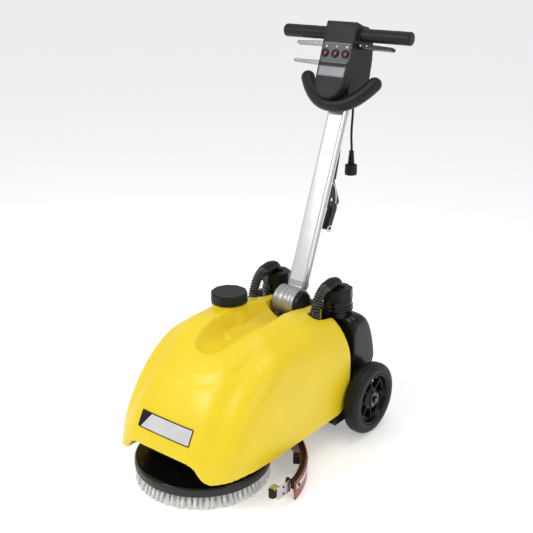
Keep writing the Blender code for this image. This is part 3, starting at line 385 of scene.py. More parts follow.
def sweep(points, radii, segments=24, bm=None, dome=0, flat=None):
    bm = bm or bmesh.new()
    pts = [Vector(p) for p in points]
    rad = list(radii) if isinstance(radii, (list, tuple)) else [radii] * len(pts)
    if dome:
        t0, t1 = (pts[0] - pts[1]).normalized(), (pts[-1] - pts[-2]).normalized()
        p0, p1, r0, r1 = pts[0].copy(), pts[-1].copy(), rad[0], rad[-1]
        for k in range(1, dome + 1):
            a = math.pi / 2 * k / (dome + 0.25)
            pts.insert(0, p0 + t0 * r0 * math.sin(a))
            rad.insert(0, r0 * math.cos(a))
            pts.append(p1 + t1 * r1 * math.sin(a))
            rad.append(r1 * math.cos(a))
    tang = []
    for i in range(len(pts)):
        a, b = pts[max(0, i - 1)], pts[min(len(pts) - 1, i + 1)]
        tang.append((b - a).normalized())
    side = tang[0].orthogonal().normalized()
    rows = []
    for i, p in enumerate(pts):
        if i:
            side = tang[i - 1].rotation_difference(tang[i]) @ side
        side = (side - tang[i] * side.dot(tang[i])).normalized()
        up = tang[i].cross(side)
        rows.append([bm.verts.new(p + (side * math.cos(2 * math.pi * k / segments)
                                       + up * math.sin(2 * math.pi * k / segments)) * rad[i]) for k in range(segments)])
    faces = [bm.faces.new(rows[0][::-1]), bm.faces.new(rows[-1])]
    for a, b in zip(rows, rows[1:]):
        for k in range(segments):
            faces.append(bm.faces.new((a[k], a[(k + 1) % segments], b[(k + 1) % segments], b[k])))
    bmesh.ops.recalc_face_normals(bm, faces=faces)
    return bm


def loft(sections, bm=None):
    """Join closed loops of the same length and cap the ends."""
    bm = bm or bmesh.new()
    rows = [[bm.verts.new(p) for p in s] for s in sections]
    n = len(rows[0])
    faces = [bm.faces.new(rows[0][::-1]), bm.faces.new(rows[-1])]
    for a, b in zip(rows, rows[1:]):
        for k in range(n):
            faces.append(bm.faces.new((a[k], a[(k + 1) % n], b[(k + 1) % n], b[k])))
    bmesh.ops.recalc_face_normals(bm, faces=faces)
    return bm


def merge(bm, other):
    me = bpy.data.meshes.new("t")
    other.to_mesh(me)
    other.free()
    bm.from_mesh(me)
    bpy.data.meshes.remove(me)
    return bm


def sstep(t):
    t = min(1.0, max(0.0, t))
    return t * t * (3 - 2 * t)


def smin(a, b, k):
    h = max(k - abs(a - b), 0.0) / k
    return min(a, b) - h * h * k / 4


def h(x, s, n):
    return HF @ Vector((x, s, n))


def cad(node, mat, bevel=0.0008):
    """Give a carried-over CAD node its finished material, and soften its edges."""
    ob = NODES[node]
    if not ob.material_slots:
        ob.data.materials.append(mat)
    for s in ob.material_slots:
        s.material = mat
    if bevel:
        b = ob.modifiers.new("edge", "BEVEL")
        b.width, b.segments, b.limit_method, b.angle_limit = bevel, 2, "ANGLE", math.radians(38)
    return ob


# ------------------------------------------------------------------ solution tank
def tank_edge(u, rear):
    if rear > 0:
        return 0.078 + 0.050 * sstep((NOSE_Y + rear - 0.335) / 0.075)
    return 0.078 + 0.007 * sstep(u / 0.35) + 0.039 * sstep((u - 0.58) / 0.26)


def tank_point(u, rear, v, corner=0.024):
    base = tank_edge(u, rear)
    z1, top = 0.195, TANK_TOP
    if v < 0.34:
        t = v / 0.34
        z = base + (z1 - base) * t
        w = TANK_W - 0.006 * ((z1 - z) / 0.12) ** 2
    else:
        a = (v - 0.34) / 0.66 * math.pi / 2
        e = 2 / 3.1
        w = TANK_W * max(0.0, math.cos(a)) ** e
        z = z1 + (top - z1) * math.sin(a) ** e
    zz = min(1.0, max(0.0, (z - 0.070) / (top - 0.070)))
    reach = 0.285 * max(0.0, 1 - zz ** 1.62) ** (1 / 1.62)
    n = 4.4 - 1.9 * sstep((z - 0.10) / 0.27)
    if rear > 0:
        x, y = w, NOSE_Y + rear
        t = min(1.0, max(0.0, (y - (REAR_Y - corner)) / corner))
        x -= corner * (1 - math.sqrt(1 - t * t)) * sstep((w - 0.07) / 0.09)
    else:
        a = u * math.pi / 2
        x = w * max(0.0, math.cos(a)) ** (2 / n)
        y = NOSE_Y - reach * math.sin(a) ** (2 / n)
    z -= 0.034 * sstep((y - 0.20) / 0.20) * sstep((z - 0.18) / 0.15)
    return Vector((x, y, z))


def groove(p):
    """The scoop in the crown: its near bank is wider than the bank beside the filler."""
    if p.z > 0.26:
        near = 0.074 + 0.018 * sstep(p.y / 0.13) - 0.016 * sstep((p.y - 0.17) / 0.12)
        far = 0.074 - 0.022 * sstep((p.y + 0.01) / 0.14)
        g = far + (near - far) * sstep((p.x + 0.035) / 0.07)
        d = math.hypot(p.x, max(0.0, 0.040 - p.y))
        p.z = smin(p.z, 0.3225 + 0.090 * (d / g) ** 2.8, 0.010)


def tank_skin(nose=34, side=20, rows=46):
    rear_len, corner = REAR_Y - NOSE_Y, 0.024
    cols = [(0.0, rear_len - corner * (1 - math.sin(math.radians(90 - 18 * i)))) for i in range(5)]
    cols += [(0.0, (rear_len - corner) * (1 - i / side)) for i in range(side)]
    cols += [(i / nose, 0.0) for i in range(nose + 1)]
    bm = bmesh.new()
    grid = [[bm.verts.new(tank_point(u, rear, j / rows)) for j in range(rows + 1)] for u, rear in cols]
    left = [[bm.verts.new((-v.co.x, v.co.y, v.co.z)) for v in c] for c in reversed(grid[:-1])]
    full = grid + left
    for c in full:
        for v in c:
            groove(v.co)
    for a, b in zip(full, full[1:]):
        for j in range(rows):
            bm.faces.new((a[j], b[j], b[j + 1], a[j + 1]))
    m = len(full)
    wall = bm.faces.new(full[0] + full[-1][::-1][1:])
    bmesh.ops.triangulate(bm, faces=[wall])
    for k in range(m // 2):
        a, b, c, d = full[k][0], full[k + 1][0], full[m - 2 - k][0], full[m - 1 - k][0]
        if b is c:
            bm.faces.new((a, b, d))
        else:
            bm.faces.new((a, b, c, d))
    bmesh.ops.remove_doubles(bm, verts=bm.verts, dist=0.00005)
    bmesh.ops.recalc_face_normals(bm, faces=bm.faces)
    return bm


def seg_dist(P, path):
    """Distance of each point of P to a polyline, and how far along it the nearest point is (0 to 1)."""
    path = np.array(path, float)
    L = np.concatenate([[0], np.cumsum(np.linalg.norm(np.diff(path, axis=0), axis=1))])
    best, where = np.full(len(P), 1e9), np.zeros(len(P))
    for i in range(len(path) - 1):
        a, d = path[i], path[i + 1] - path[i]
        t = np.clip(((P - a) @ d) / (d @ d), 0, 1)
        q = np.linalg.norm(P - (a + t[:, None] * d), axis=1)
        m = q < best
        best[m] = q[m]
        where[m] = ((L[i] + t * (L[i + 1] - L[i])) / L[-1])[m]
    return best, where


def make_shell():
    ob = temp(tank_skin())
    bay = temp(prism(rounded(-0.140, 0.140, -0.108, 0.290, 0.07), 0.02, 0.30))
    roof = prism([(-0.12, 0.0), (-0.12, 0.146), (-0.066, 0.224), (-0.046, 0.2555), (0.31, 0.2555), (0.31, 0.0)], -0.2, 0.2, "X")
    boolean(bay, temp(roof), "INTERSECT")
    boolean(ob, bay)
    half = []
    for k in range(17):
        u = 0.60 + 0.26 * k / 16
        half.append((0.169 * math.cos(u * math.pi / 2) ** (2 / 4.4) - 0.004, tank_edge(u, 0) + 0.0004))
    arch = [(half[0][0], 0.0)] + half + [(-x, z) for x, z in reversed(half)] + [(-half[0][0], 0.0)]
    boolean(ob, temp(prism(arch, -0.25, -0.09, "Y")))
    for s in (1, -1):
        x, r = s * NECK_X, 0.0175
        out = [(x - r, 0.45)] + [(x - r * math.cos(math.pi * k / 16), HOSE_Y - r * math.sin(math.pi * k / 16)) for k in range(17)] + [(x + r, 0.45)]
        # the notch closes behind the hose at the top edge
        boolean(ob, temp(prism(out, 0.02, 0.45)))
    boolean(ob, temp(prism([(-0.046, 0.45), (-0.0457, 0.3127), (0.0457, 0.3127), (0.046, 0.45)], 0.02, 0.45)))
    boolean(ob, temp(box(-0.1845, 0.1845, 0.3156, 0.46, 0.0, 0.1153)))
    neck = ring(fillet([(0, 0.330), (0.0560, 0.330), (0.0560, 0.342), (0.0510, 0.352), (0.0475, 0.361), (0.0452, 0.372), (0.0440, 0.3790), (0.0450, 0.3800), (0.0450, 0.3838), (0, 0.3838)], 0.003, 3, False), 64, (CAP_X, CAP_Y, 0), "Z", None, False)
    boolean(ob, temp(neck), "UNION")
    boolean(ob, temp(rod(0.0383, 0.345, 0.40, (CAP_X, CAP_Y, 0), "Z", 64, 0)))
    rm = ob.modifiers.new("skin", "REMESH")
    rm.mode, rm.voxel_size, rm.adaptivity = "VOXEL", 0.0027, 0.0
    bake(ob)
    sm = ob.modifiers.new("soft", "SMOOTH")
    sm.factor, sm.iterations = 0.5, 10
    bake(ob)
    me = ob.data
    n = len(me.vertices)
    co = np.empty(n * 3)
    me.vertices.foreach_get("co", co)
    co = co.reshape(-1, 3)
    no = np.empty(n * 3)
    me.vertices.foreach_get("normal", no)
    no = no.reshape(-1, 3)
    ax = np.abs(co[:, 0])
    P = np.column_stack([ax, co[:, 1], co[:, 2]])
    # outer skin only: normals that point away from the tank's middle
    mid = np.array([0, 0.12, 0.12])
    out = ((co - mid) * no).sum(1) > 0.02
    out &= (no[:, 2] > -0.35) & (co[:, 1] < 0.372)
    valley, wv = seg_dist(P, [(0.115, 0.300, 0.352), (0.138, 0.219, 0.352), (0.142, 0.130, 0.350), (0.138, 0.063, 0.338), (0.130, 0.008, 0.314),
                              (0.129, -0.041, 0.273), (0.134, -0.079, 0.227), (0.141, -0.110, 0.178), (0.146, -0.128, 0.120)])
    fade = np.clip((wv - 0.04) / 0.45, 0, 1)
    fade = fade * fade * (3 - 2 * fade)
    low = np.clip(1.0 - (wv - 0.86) / 0.30, 0.3, 1)
    move = -0.0082 * fade * low * np.exp(-(valley / 0.027) ** 2)
    fender, wf = seg_dist(P, [(0.172, 0.240, 0.318), (0.174, 0.150, 0.322), (0.178, 0.059, 0.298), (0.180, 0.0, 0.258), (0.182, -0.049, 0.200),
                              (0.182, -0.081, 0.140), (0.182, -0.095, 0.085)])
    ff = np.clip((wf - 0.02) / 0.35, 0, 1)
    move += 0.0036 * ff * np.exp(-(fender / 0.036) ** 2)
    # shallow U pressed into the crown
    emb = [(0.116, 0.075), (0.122, 0.030), (0.116, 0.000), (0.098, -0.024), (0.072, -0.044), (0.038, -0.057), (0.0, -0.061)]
    de, we = seg_dist(np.column_stack([ax, co[:, 1]]), emb)
    ef = np.clip(we / 0.22, 0, 1) * (co[:, 2] > 0.20)
    move += ef * (-0.0016 * np.exp(-(de / 0.0085) ** 2) + 0.0005 * np.exp(-((de - 0.017) / 0.007) ** 2))
    co2 = co + no * (move * out)[:, None]
    me.vertices.foreach_set("co", co2.reshape(-1))
    sm = ob.modifiers.new("soft", "SMOOTH")
    sm.factor, sm.iterations = 0.5, 2
    bake(ob)
    return finish_temp(ob)


shell_bm = make_shell()
shell_tree = BVHTree.FromBMesh(shell_bm)
shell = add(shell_bm, "tank_shell", YELLOW, "chassis", ["solution_tank"], smooth=60)


# ------------------------------------------------------------------ front plate, blank
def on_nose(x, z, off):
    hit = shell_tree.ray_cast(Vector((x, -0.5, z)), Vector((0, 1, 0)))
    return hit[0] + hit[1] * off if hit[0] else Vector((x, -0.16, z))


def nose_patch(outline, off, thick, step=0.004):
    """A thin plate of that outline (x, z) that lies on the nose."""
    flat = bmesh.new()
    flat.faces.new([flat.verts.new((x, 0, z)) for x, z in outline])
    xs = [p[0] for p in outline]
    x = min(xs) + step
    while x < max(xs):
        bmesh.ops.bisect_plane(flat, geom=flat.verts[:] + flat.edges[:] + flat.faces[:], plane_co=(x, 0, 0), plane_no=(1, 0, 0))
        x += step
    zs = [p[1] for p in outline]
    z = min(zs) + step
    while z < max(zs):
        bmesh.ops.bisect_plane(flat, geom=flat.verts[:] + flat.edges[:] + flat.faces[:], plane_co=(0, 0, z), plane_no=(0, 0, 1))
        z += step
    front = {v: on_nose(v.co.x, v.co.z, off + thick) for v in flat.verts}
    back = {v: on_nose(v.co.x, v.co.z, off) for v in flat.verts}
    bm = bmesh.new()
    fv = {v: bm.verts.new(p) for v, p in front.items()}
    bv = {v: bm.verts.new(p) for v, p in back.items()}
    for f in flat.faces:
        bm.faces.new([fv[v] for v in f.verts])
        bm.faces.new([bv[v] for v in reversed(f.verts)])
    for e in flat.edges:
        if len(e.link_faces) == 1:
            a, b = e.verts
            bm.faces.new((fv[a], fv[b], bv[b], bv[a]))
    flat.free()
    bmesh.ops.recalc_face_normals(bm, faces=bm.faces)
    return bm


X0, X1, Z0, Z1 = -0.0855, 0.0825, 0.1635, 0.2010
add(nose_patch(rounded(X0, X1, Z0, Z1, 0.0030, 4), -0.0006, 0.0018), "front_plate_frame", BLACK_ABS, "chassis", ["front_plate"], smooth=50)
b = 0.0024
add(nose_patch([(X0 + 0.010, Z0 + b), (X1 - b, Z0 + b), (X1 - b, Z1 - b), (X0 + 0.034, Z1 - b)], 0.0010, 0.0006), "front_plate_face", LABEL, "chassis", (), smooth=50)

# ------------------------------------------------------------------ filler cap


def decagon(t, r):
    if r < 0.030:
        return 1.0
    k = math.pi / 5
    a = (t + 0.1) % k - k / 2
    e = math.cos(k / 2) / math.cos(a)
    return 0.35 + 0.65 * (e + 0.035)


cap = ring(fillet([(0, 0.4112), (0.0400, 0.4118), (0.0455, 0.4122), (0.0478, 0.4085), (0.0488, 0.3905), (0.0482, 0.3848), (0.0374, 0.3848), (0.0374, 0.3540),
                   (0.0325, 0.3540), (0.0325, 0.4070), (0, 0.4070)], 0.0016, 4, False), 120, (CAP_X, CAP_Y, 0), "Z", None, False, decagon)
add(cap, "filler_cap_moulded", BLACK_ABS, "filler_lid", ["filler_cap"], smooth=32)
add(ring(fillet([(0.0452, 0.3775), (0.0475, 0.3775), (0.0475, 0.3815), (0.0452, 0.3815)], 0.0008), 96, (CAP_X, CAP_Y, 0), "Z"), "filler_neck_bead", YELLOW, "chassis", ())

# ------------------------------------------------------------------ recovery tank


def recovery():
    prof = [(0.412, 0.118), (0.412, 0.160), (0.412, 0.230), (0.412, 0.296), (0.4165, 0.320), (0.430, 0.331), (0.455, 0.331), (0.478, 0.322),
            (0.497, 0.300), (0.514, 0.258), (0.527, 0.212), (0.532, 0.185), (0.527, 0.170), (0.512, 0.160), (0.506, 0.140), (0.500, 0.124), (0.490, 0.118)]
    cy, cz = 0.462, 0.215
    xs = [-0.1800, -0.1790, -0.1750, -0.1660, -0.150, -0.110, -0.040, 0.040, 0.110, 0.150, 0.1660, 0.1750, 0.1790, 0.1800]
    sc = [0.70, 0.80, 0.895, 0.955, 0.99, 1, 1, 1, 1, 0.99, 0.955, 0.895, 0.80, 0.70]
    rows = []
    for x, s in zip(xs, sc):
        rows.append([Vector((x, cy + (y - cy) * (s if y > cy else 1 - (1 - s) * 0.35), cz + (z - cz) * (s if z > cz else 1 - (1 - s) * 0.25))) for y, z in prof])
    return loft(rows)


rec = add(recovery(), "recovery_tank_moulded", BLACK_PE, "chassis", ["recovery_tank"], smooth=60, subsurf=2)
for s, side in ((-1, "left"), (1, "right")):
    c = (s * NECK_X, NECK_Y, 0)
    prof = [(0.0310, 0.310), (0.0412, 0.318), (0.0404, 0.3300), (0.0404, 0.3345), (0.0424, 0.3362), (0.0424, 0.3392), (0.0400, 0.3406), (0.0400, 0.3450),
            (0.0418, 0.3464), (0.0418, 0.3492), (0.0396, 0.3506), (0.0396, 0.3645), (0.0310, 0.3645)]
    add(ring(fillet(prof, 0.0009, 3), 72, c, "Z"), "recovery_neck_" + side, BLACK_PE, "chassis", (), smooth=50)

    def octagon(t, r):
        if r < 0.030:
            return 1.0
        k = math.pi / 4
        a = t % k - k / 2
        e = math.cos(k / 2) / math.cos(a)
        return 0.12 + 0.88 * (e + 0.012)
    prof = [(0.0180, 0.3655), (0.0405, 0.3650), (0.0412, 0.3665), (0.0412, 0.3700), (0.0404, 0.3712), (0.0400, 0.3900), (0.0392, 0.3945), (0.0365, 0.3958), (0.0225, 0.3958), (0.0210, 0.3975), (0.0180, 0.3975)]
    add(ring(fillet(prof, 0.0010, 3), 128, c, "Z", None, True, octagon), "recovery_cap_moulded_" + side, BLACK_ABS, "recovery_lid_" + side, ["recovery_cap_" + side], smooth=28)

    # elbow: a bend with a rounded heel and a sleeve where the hose is pushed on
    x = s * NECK_X
    path = [(x, 0.440, 0.3500), (x, 0.440, 0.3880), (x, 0.4375, 0.4010), (x, 0.430, 0.4110), (x, 0.4180, 0.4150), (x, 0.4000, 0.4150), (x, 0.3790, 0.4110)]
    pts = resample(smooth_path(path, 0.002), 0.002)
    rad = []
    for i, p in enumerate(pts):
        e = (len(pts) - 1 - i) * 0.002
        r = 0.0146
        if e < 0.030:
            r = 0.0156
        if e < 0.0035 or 0.0285 < e < 0.0315:
            r = 0.0160
        rad.append(r)
    add(sweep(pts, rad, 40), "elbow_moulded_" + side, BLACK_ABS, "chassis", ["elbow_" + side], smooth=45)

    t = (Vector(path[-1]) - Vector(path[-2])).normalized()
    route = [Vector(path[-1]) + t * 0.0005, Vector(path[-1]) + t * 0.0110, (x, 0.3500, 0.3930), (x, 0.3380, 0.3680), (x, HOSE_Y, 0.338),
             (x, HOSE_Y, 0.290), (x, HOSE_Y, 0.220), (x, HOSE_Y, 0.165), (x, 0.3260, 0.1470), (x, 0.3140, 0.1340)]
    if s < 0:
        route += [(x, 0.2860, 0.1300), (x, 0.2600, 0.1310), (x, 0.2430, 0.1300), (x, 0.2365, 0.1240), (x, 0.2360, 0.1190), (x, 0.2360, 0.1142)]
    else:
        route += [(x, 0.3020, 0.1290), (x, 0.2940, 0.1280), (x, 0.2885, 0.1280)]
    step, pitch = 0.00080, 0.0070
    pts = resample(smooth_path(route, 0.002), step)
    rad = []
    for i in range(len(pts)):
        ph = (i * step / pitch) % 1.0
        k = 0.5 + 0.5 * math.cos(2 * math.pi * ph)
        rad.append(0.0110 + 0.0034 * k ** 0.7)
    add(sweep(pts, rad, 30), "hose_corrugated_" + side, HOSE, "chassis", ["hose_" + side], smooth=80)

# ------------------------------------------------------------------ brush
prof = fillet([(0.052, 0.034), (0.1700, 0.034), (0.1730, 0.0365), (0.1730, 0.0530), (0.1722, 0.0545), (0.1712, 0.0550), (0.1700, 0.0578), (0.1672, 0.0582), (0.1640, 0.0568), (0.150, 0.0560),
               (0.108, 0.0560), (0.1050, 0.0574), (0.088, 0.0578), (0.052, 0.0578)], 0.0014, 4)
blk = ring(prof, 160, (0, 0, 0), "Z")
for f in blk.faces:
    r = math.hypot(f.calc_center_median().x, f.calc_center_median().y)
    if r > 0.1712 and f.calc_center_median().z < 0.0555:
        f.material_index = 1
add(blk, "brush_disc", [GLOSS, BAND], "brush", ["brush_block"], smooth=35)
cad("drive_hub", BLACK_ABS, 0.001)


def tufts():
    rng = random.Random(7)
    bm = bmesh.new()
    holes = bmesh.new()
    rings = [(0.1600, 72, 1.0), (0.1475, 77, 0.85), (0.1350, 70, 0.7), (0.1225, 64, 0.55), (0.1100, 57, 0.4), (0.0975, 50, 0.2), (0.0850, 44, 0.0)]
    for row, (R, n, lean) in enumerate(rings):
        m = 26 if row == 0 else (15 if row == 1 else 8)
        for k in range(n):
            a = 2 * math.pi * (k + 0.5 * (row % 2)) / n + rng.uniform(-0.006, 0.006)
            er, et = Vector((math.cos(a), math.sin(a), 0)), Vector((-math.sin(a), math.cos(a), 0))
            root = er * R
            tilt = lean * 0.26 + rng.uniform(-0.03, 0.03)
            twist = rng.uniform(-0.09, 0.09)
            length = 0.0337
            for j in range(m):
                q = math.sqrt((j + 0.5) / m)
                b_ = j * 2.399963 + rng.uniform(-0.25, 0.25)
                dx, dy = q * math.cos(b_), q * math.sin(b_)
                p0 = root + er * dx * 0.0031 + et * dy * 0.0031 + Vector((0, 0, 0.0342))
                spread = 0.0046
                foot = root + er * (tilt * length + dx * spread) + et * (twist * length + dy * spread)
                rr = math.hypot(foot.x, foot.y)
                if rr > 0.1762:
                    foot *= 0.1762 / rr
                p2 = foot + Vector((0, 0, rng.uniform(0.0, 0.0016)))
                p1 = p0.lerp(p2, 0.5) + er * rng.uniform(-0.0007, 0.0002) + Vector((0, 0, 0))
                w = 0.00085 if row < 2 else 0.0010
                prev = None
                ang = rng.uniform(0, 3)
                for p, ww in ((p0, w), (p1, w), (p2, w * 0.8)):
                    cur = [bm.verts.new(p + (er * math.cos(ang + i * 2.0944) + et * math.sin(ang + i * 2.0944)) * ww) for i in range(3)]
                    if prev:
                        for i in range(3):
                            bm.faces.new((prev[i], prev[(i + 1) % 3], cur[(i + 1) % 3], cur[i]))
                    else:
                        bm.faces.new(cur[::-1])
                    prev = cur
                bm.faces.new(prev)
    holes.free()
    bmesh.ops.recalc_face_normals(bm, faces=bm.faces)
    return bm


add(tufts(), "brush_tufts", NYLON, "brush", ["brush_bristles"], smooth=80)

# ------------------------------------------------------------------ wheels
for s, side in ((-1, "left"), (1, "right")):
    c = (s * WHEEL_X, WHEEL_Y, WHEEL_R)
    w = WHEEL_W / 2
    prof = [(0.0713, -w + 0.003), (0.0740, -w), (0.0860, -w), (0.0868, -w + 0.0010), (0.0880, -w + 0.0002), (0.0950, -w + 0.0040), (0.0985, -w + 0.0095), (0.1000, -w + 0.0165),
            (0.1000, -0.0012), (0.0988, 0.0), (0.1000, 0.0012), (0.1000, w - 0.0165), (0.0985, w - 0.0095), (0.0950, w - 0.0040), (0.0880, w - 0.0002), (0.0868, w - 0.0010), (0.0860, w), (0.0740, w), (0.0713, w - 0.003)]
    add(ring(fillet(prof, 0.0012, 3), 128, c, "X"), "tyre_moulded_" + side, TYRE, "wheel_" + side, ["tyre_" + side], smooth=50)
    # rim: rolled outer ring, web with eight windows, hub
    rim = temp(ring(fillet([(0.0062, -0.0050), (0.0640, -0.0050), (0.0645, 0.0050), (0.0062, 0.0050)], 0.001, 2), 128, (0, WHEEL_Y, WHEEL_R), "X"))
    for k in range(8):
        a = math.radians(22.5 + 45 * k)
        win = []
        for r0, r1, a0, a1 in ((0.0310, 0.0560, 13.5, 16.0),):
            ptsw = [(r0, -a0 * 0.8), (r0, a0 * 0.8), (r1, a1), (r1, 0), (r1, -a1)]
            for r_, da in [(r0, -12), (r0, 0), (r0, 12), (r1 * 0.78, 15.0), (r1 * 0.97, 16), (r1, 13), (r1, 0), (r1, -13), (r1 * 0.97, -16), (r1 * 0.78, -15.0)]:
                t_ = a + math.radians(da)
                win.append((WHEEL_Y + r_ * math.cos(t_), WHEEL_R + r_ * math.sin(t_)))
        boolean(rim, temp(prism(win, -0.02, 0.02, "X")))
    web = finish_temp(rim)
    bmesh.ops.translate(web, verts=web.verts, vec=(c[0], 0, 0))
    add(web, "rim_web_" + side, RIM, "wheel_" + side, ["rim_" + side], smooth=35, bevel=0.0012)
    o = s
    prof = [(0.0600, -w + 0.0040), (0.0710, -w + 0.0040), (0.0710, w - 0.0040), (0.0700, w - 0.0015), (0.0675, w - 0.0015), (0.0655, w - 0.0060), (0.0625, 0.0060), (0.0600, 0.0050), (0.0600, -0.0050)]
    add(ring(fillet([(r, o * x_) for r, x_ in prof], 0.0012, 3), 128, c, "X"), "rim_ring_" + side, RIM, "wheel_" + side, (), smooth=50)
    prof = [(0.0062, -0.0335), (0.0180, -0.0335), (0.0240, -0.0050), (0.0310, 0.0050), (0.0300, 0.0090), (0.0240, 0.0120), (0.0200, w - 0.0060), (0.0062, w - 0.0060)]
    add(ring(fillet([(r, o * x_) for r, x_ in prof], 0.0015, 3), 72, c, "X"), "rim_hub_" + side, RIM, "wheel_" + side, (), smooth=50)
    for k in range(8):
        a = math.radians(45 * k)
        rib = prism([(0.0215, -0.0016), (0.0600, -0.0022), (0.0600, 0.0022), (0.0215, 0.0016)], 0.004, 0.0095, "Z")
        rot = Matrix.Translation((c[0], c[1], c[2])) @ Matrix.Rotation(a, 4, "X") @ Matrix(((0, 0, o, 0), (1, 0, 0, 0), (0, 1, 0, 0), (0, 0, 0, 1)))
        rib.transform(rot)
        bmesh.ops.recalc_face_normals(rib, faces=rib.faces)
        add(rib, "rim_rib_%s_%d" % (side, k), RIM, "wheel_" + side, (), bevel=0.0009)

    # rounded-triangle keeper plate round the nut
    def tri(t, r):
        return 1.0 + (0.13 * math.cos(3 * t) if r > 0.012 else 0.0)
    x0, x1 = w - 0.0058, w - 0.0028
    add(ring(fillet([(0.0100, o * x0), (0.0200, o * x0), (0.0200, o * x1), (0.0184, o * (x1 + 0.0006)), (0.0120, o * (x1 + 0.0004)), (0.0100, o * x1)], 0.0007, 3), 96, c, "X", None, True, tri),
        "hub_plate_" + side, GUN, "wheel_" + side, (), smooth=45)
cad("axle", GUN, 0.0008)

# ------------------------------------------------------------------ squeegee


def arc(prof, a0, a1, n=110):
    """Profile of (r, z) swept round the brush's axis."""
    rows = []
    for k in range(n + 1):
        t = math.radians(a0 + (a1 - a0) * k / n)
        rows.append([Vector((r * math.cos(t), r * math.sin(t), z)) for r, z in prof])
    return loft(rows)


def rect(r0, r1, z0, z1, k=0.0008):
    return fillet([(r0, z0), (r1, z0), (r1, z1), (r0, z1)], k, 2)


body = fillet([(0.2518, 0.0285), (0.2606, 0.0285), (0.2606, 0.0545), (0.2590, 0.0550), (0.2580, 0.0520), (0.2545, 0.0520), (0.2535, 0.0550), (0.2518, 0.0545)], 0.0008, 2)
sq = temp(arc(body, 9, 171))
arm = prism([(0.2535, 0.0500), (0.2600, 0.0500), (0.296, 0.0665), (0.3075, 0.072), (0.3085, 0.082), (0.303, 0.0875), (0.293, 0.0865), (0.2560, 0.0660), (0.2535, 0.0640)], -0.0150, 0.0150, "X")
boolean(sq, temp(arm), "UNION")
boolean(sq, temp(ring([(0, 0.0505), (0.0120, 0.0505), (0.0105, 0.0790), (0, 0.0790)], 40, (-0.105, 0.236, 0), "Z", None, False)), "UNION")
boolean(sq, temp(rod(0.0043, -0.03, 0.03, (0, 0.300, 0.078), "X", 32, 0)))
add(finish_temp(sq), "squeegee_body", BLACK_ABS, "squeegee", ["squeegee_frame"], smooth=40)
add(arc(rect(0.2614, 0.2652, 0.0, 0.0500, 0.0006), 9, 171), "blade_rear_cast", PU, "squeegee", ["blade_rear"], smooth=50)
add(arc(rect(0.2474, 0.2511, 0.0015, 0.0460, 0.0006), 15, 165), "blade_front_cast", PU, "squeegee", ["blade_front"], smooth=50)
add(arc(rect(0.2656, 0.2669, 0.0280, 0.0430, 0.0004), 9.6, 170.4), "blade_strap_rolled", STEEL, "squeegee", ["blade_strap"], smooth=50)
for i, ang in enumerate((12.6, 40, 66, 90, 114, 140, 167.4)):
    m = Matrix.Rotation(math.radians(ang) - math.pi / 2, 4, "Z")
    b1 = ring(fillet([(0, 0.2666), (0.0046, 0.2666), (0.0046, 0.2686), (0.0030, 0.2692), (0, 0.2692)], 0.0005, 2, False), 24, (0, 0, 0.0355), "Y", None, False)
    b1.transform(m)
    add(b1, "strap_screw_%d" % i, BLACK_STEEL if i in (0, 6) else STEEL, "squeegee", ())
for i, ang in enumerate((12, 36, 60, 120, 144, 168)):
    m = Matrix.Rotation(math.radians(ang) - math.pi / 2, 4, "Z")
    if ang in (36, 144):
        k1 = prism(rounded(-0.0118, 0.0118, 0.0305, 0.0535, 0.004), 0.2290, 0.2465, "Y")
        k1.transform(m)
        bmesh.ops.recalc_face_normals(k1, faces=k1.faces)
        add(k1, "squeegee_boss_%d" % i, BLACK_ABS, "squeegee", (), bevel=0.0012)
    else:
        k1 = ring(fillet([(0, 0.2338), (0.0066, 0.2338), (0.0078, 0.2350), (0.0080, 0.2400), (0.0060, 0.2420), (0.0058, 0.2465), (0, 0.2465)], 0.0006, 2, False), 40, (0, 0, 0.0400), "Y", None, False,
                  lambda t, r: 1.0 + (0.07 * math.cos(6 * t) if r > 0.0065 else 0))
        k1.transform(m)
        add(k1, "squeegee_knob_%d" % i, BLACK_ABS, "squeegee", ())
for s, side in ((-1, "left"), (1, "right")):
    cad("end_plate_" + side, STEEL, 0.0004)
    rp = [(0.0034, 0.0292), (0.0086, 0.0292), (0.0098, 0.0304), (0.0098, 0.0400), (0.0092, 0.0406), (0.0092, 0.0416), (0.0098, 0.0422), (0.0098, 0.0518), (0.0086, 0.0530), (0.0034, 0.0530)]
    add(ring(fillet(rp, 0.0005, 2), 48, (s * 0.2365, -0.0160, 0), "Z"), "guide_roller_moulded_" + side, RUBBER, "guide_roller_" + side, ["squeegee_roller_" + side])
    for j, (yy, zz) in enumerate(((0.0120, 0.0470), (0.0120, 0.0285))):
        xa, xb = sorted((s * 0.2486, s * 0.2504))
        add(rod(0.0026, xa, xb, (0, yy, zz), "X", 20, 0.0006), "end_screw_%s_%d" % (side, j), BLACK_STEEL, "squeegee", ())
cad("suction_sleeve", RUBBER, 0.0006)
cad("rear_frame", BLACK_STEEL, 0.0012)
cad("chassis_plate", BLACK_STEEL, 0.0008)
cad("brush_gearbox", CAST, 0.0015)
cad("brush_motor", MOTOR, 0.0015)
cad("vacuum_motor", BLACK_ABS, 0.0015)
cad("water_valve", BLACK_ABS, 0.0010)

# ------------------------------------------------------------------ folding joint


def disc(x0, x1, r, groove=0.0, inner=0.0083):
    prof = [(inner, x0), (r - 0.0006, x0), (r, x0 + 0.0008)]
    if groove:
        m = (x0 + x1) / 2
        prof += [(r, m - groove), (r - 0.0014, m - groove * 0.6), (r - 0.0014, m + groove * 0.6), (r, m + groove)]
    prof += [(r, x1 - 0.0008), (r - 0.0006, x1), (inner, x1)]
    return ring(fillet(prof, 0.0006, 2), 128, FOLD, "X")


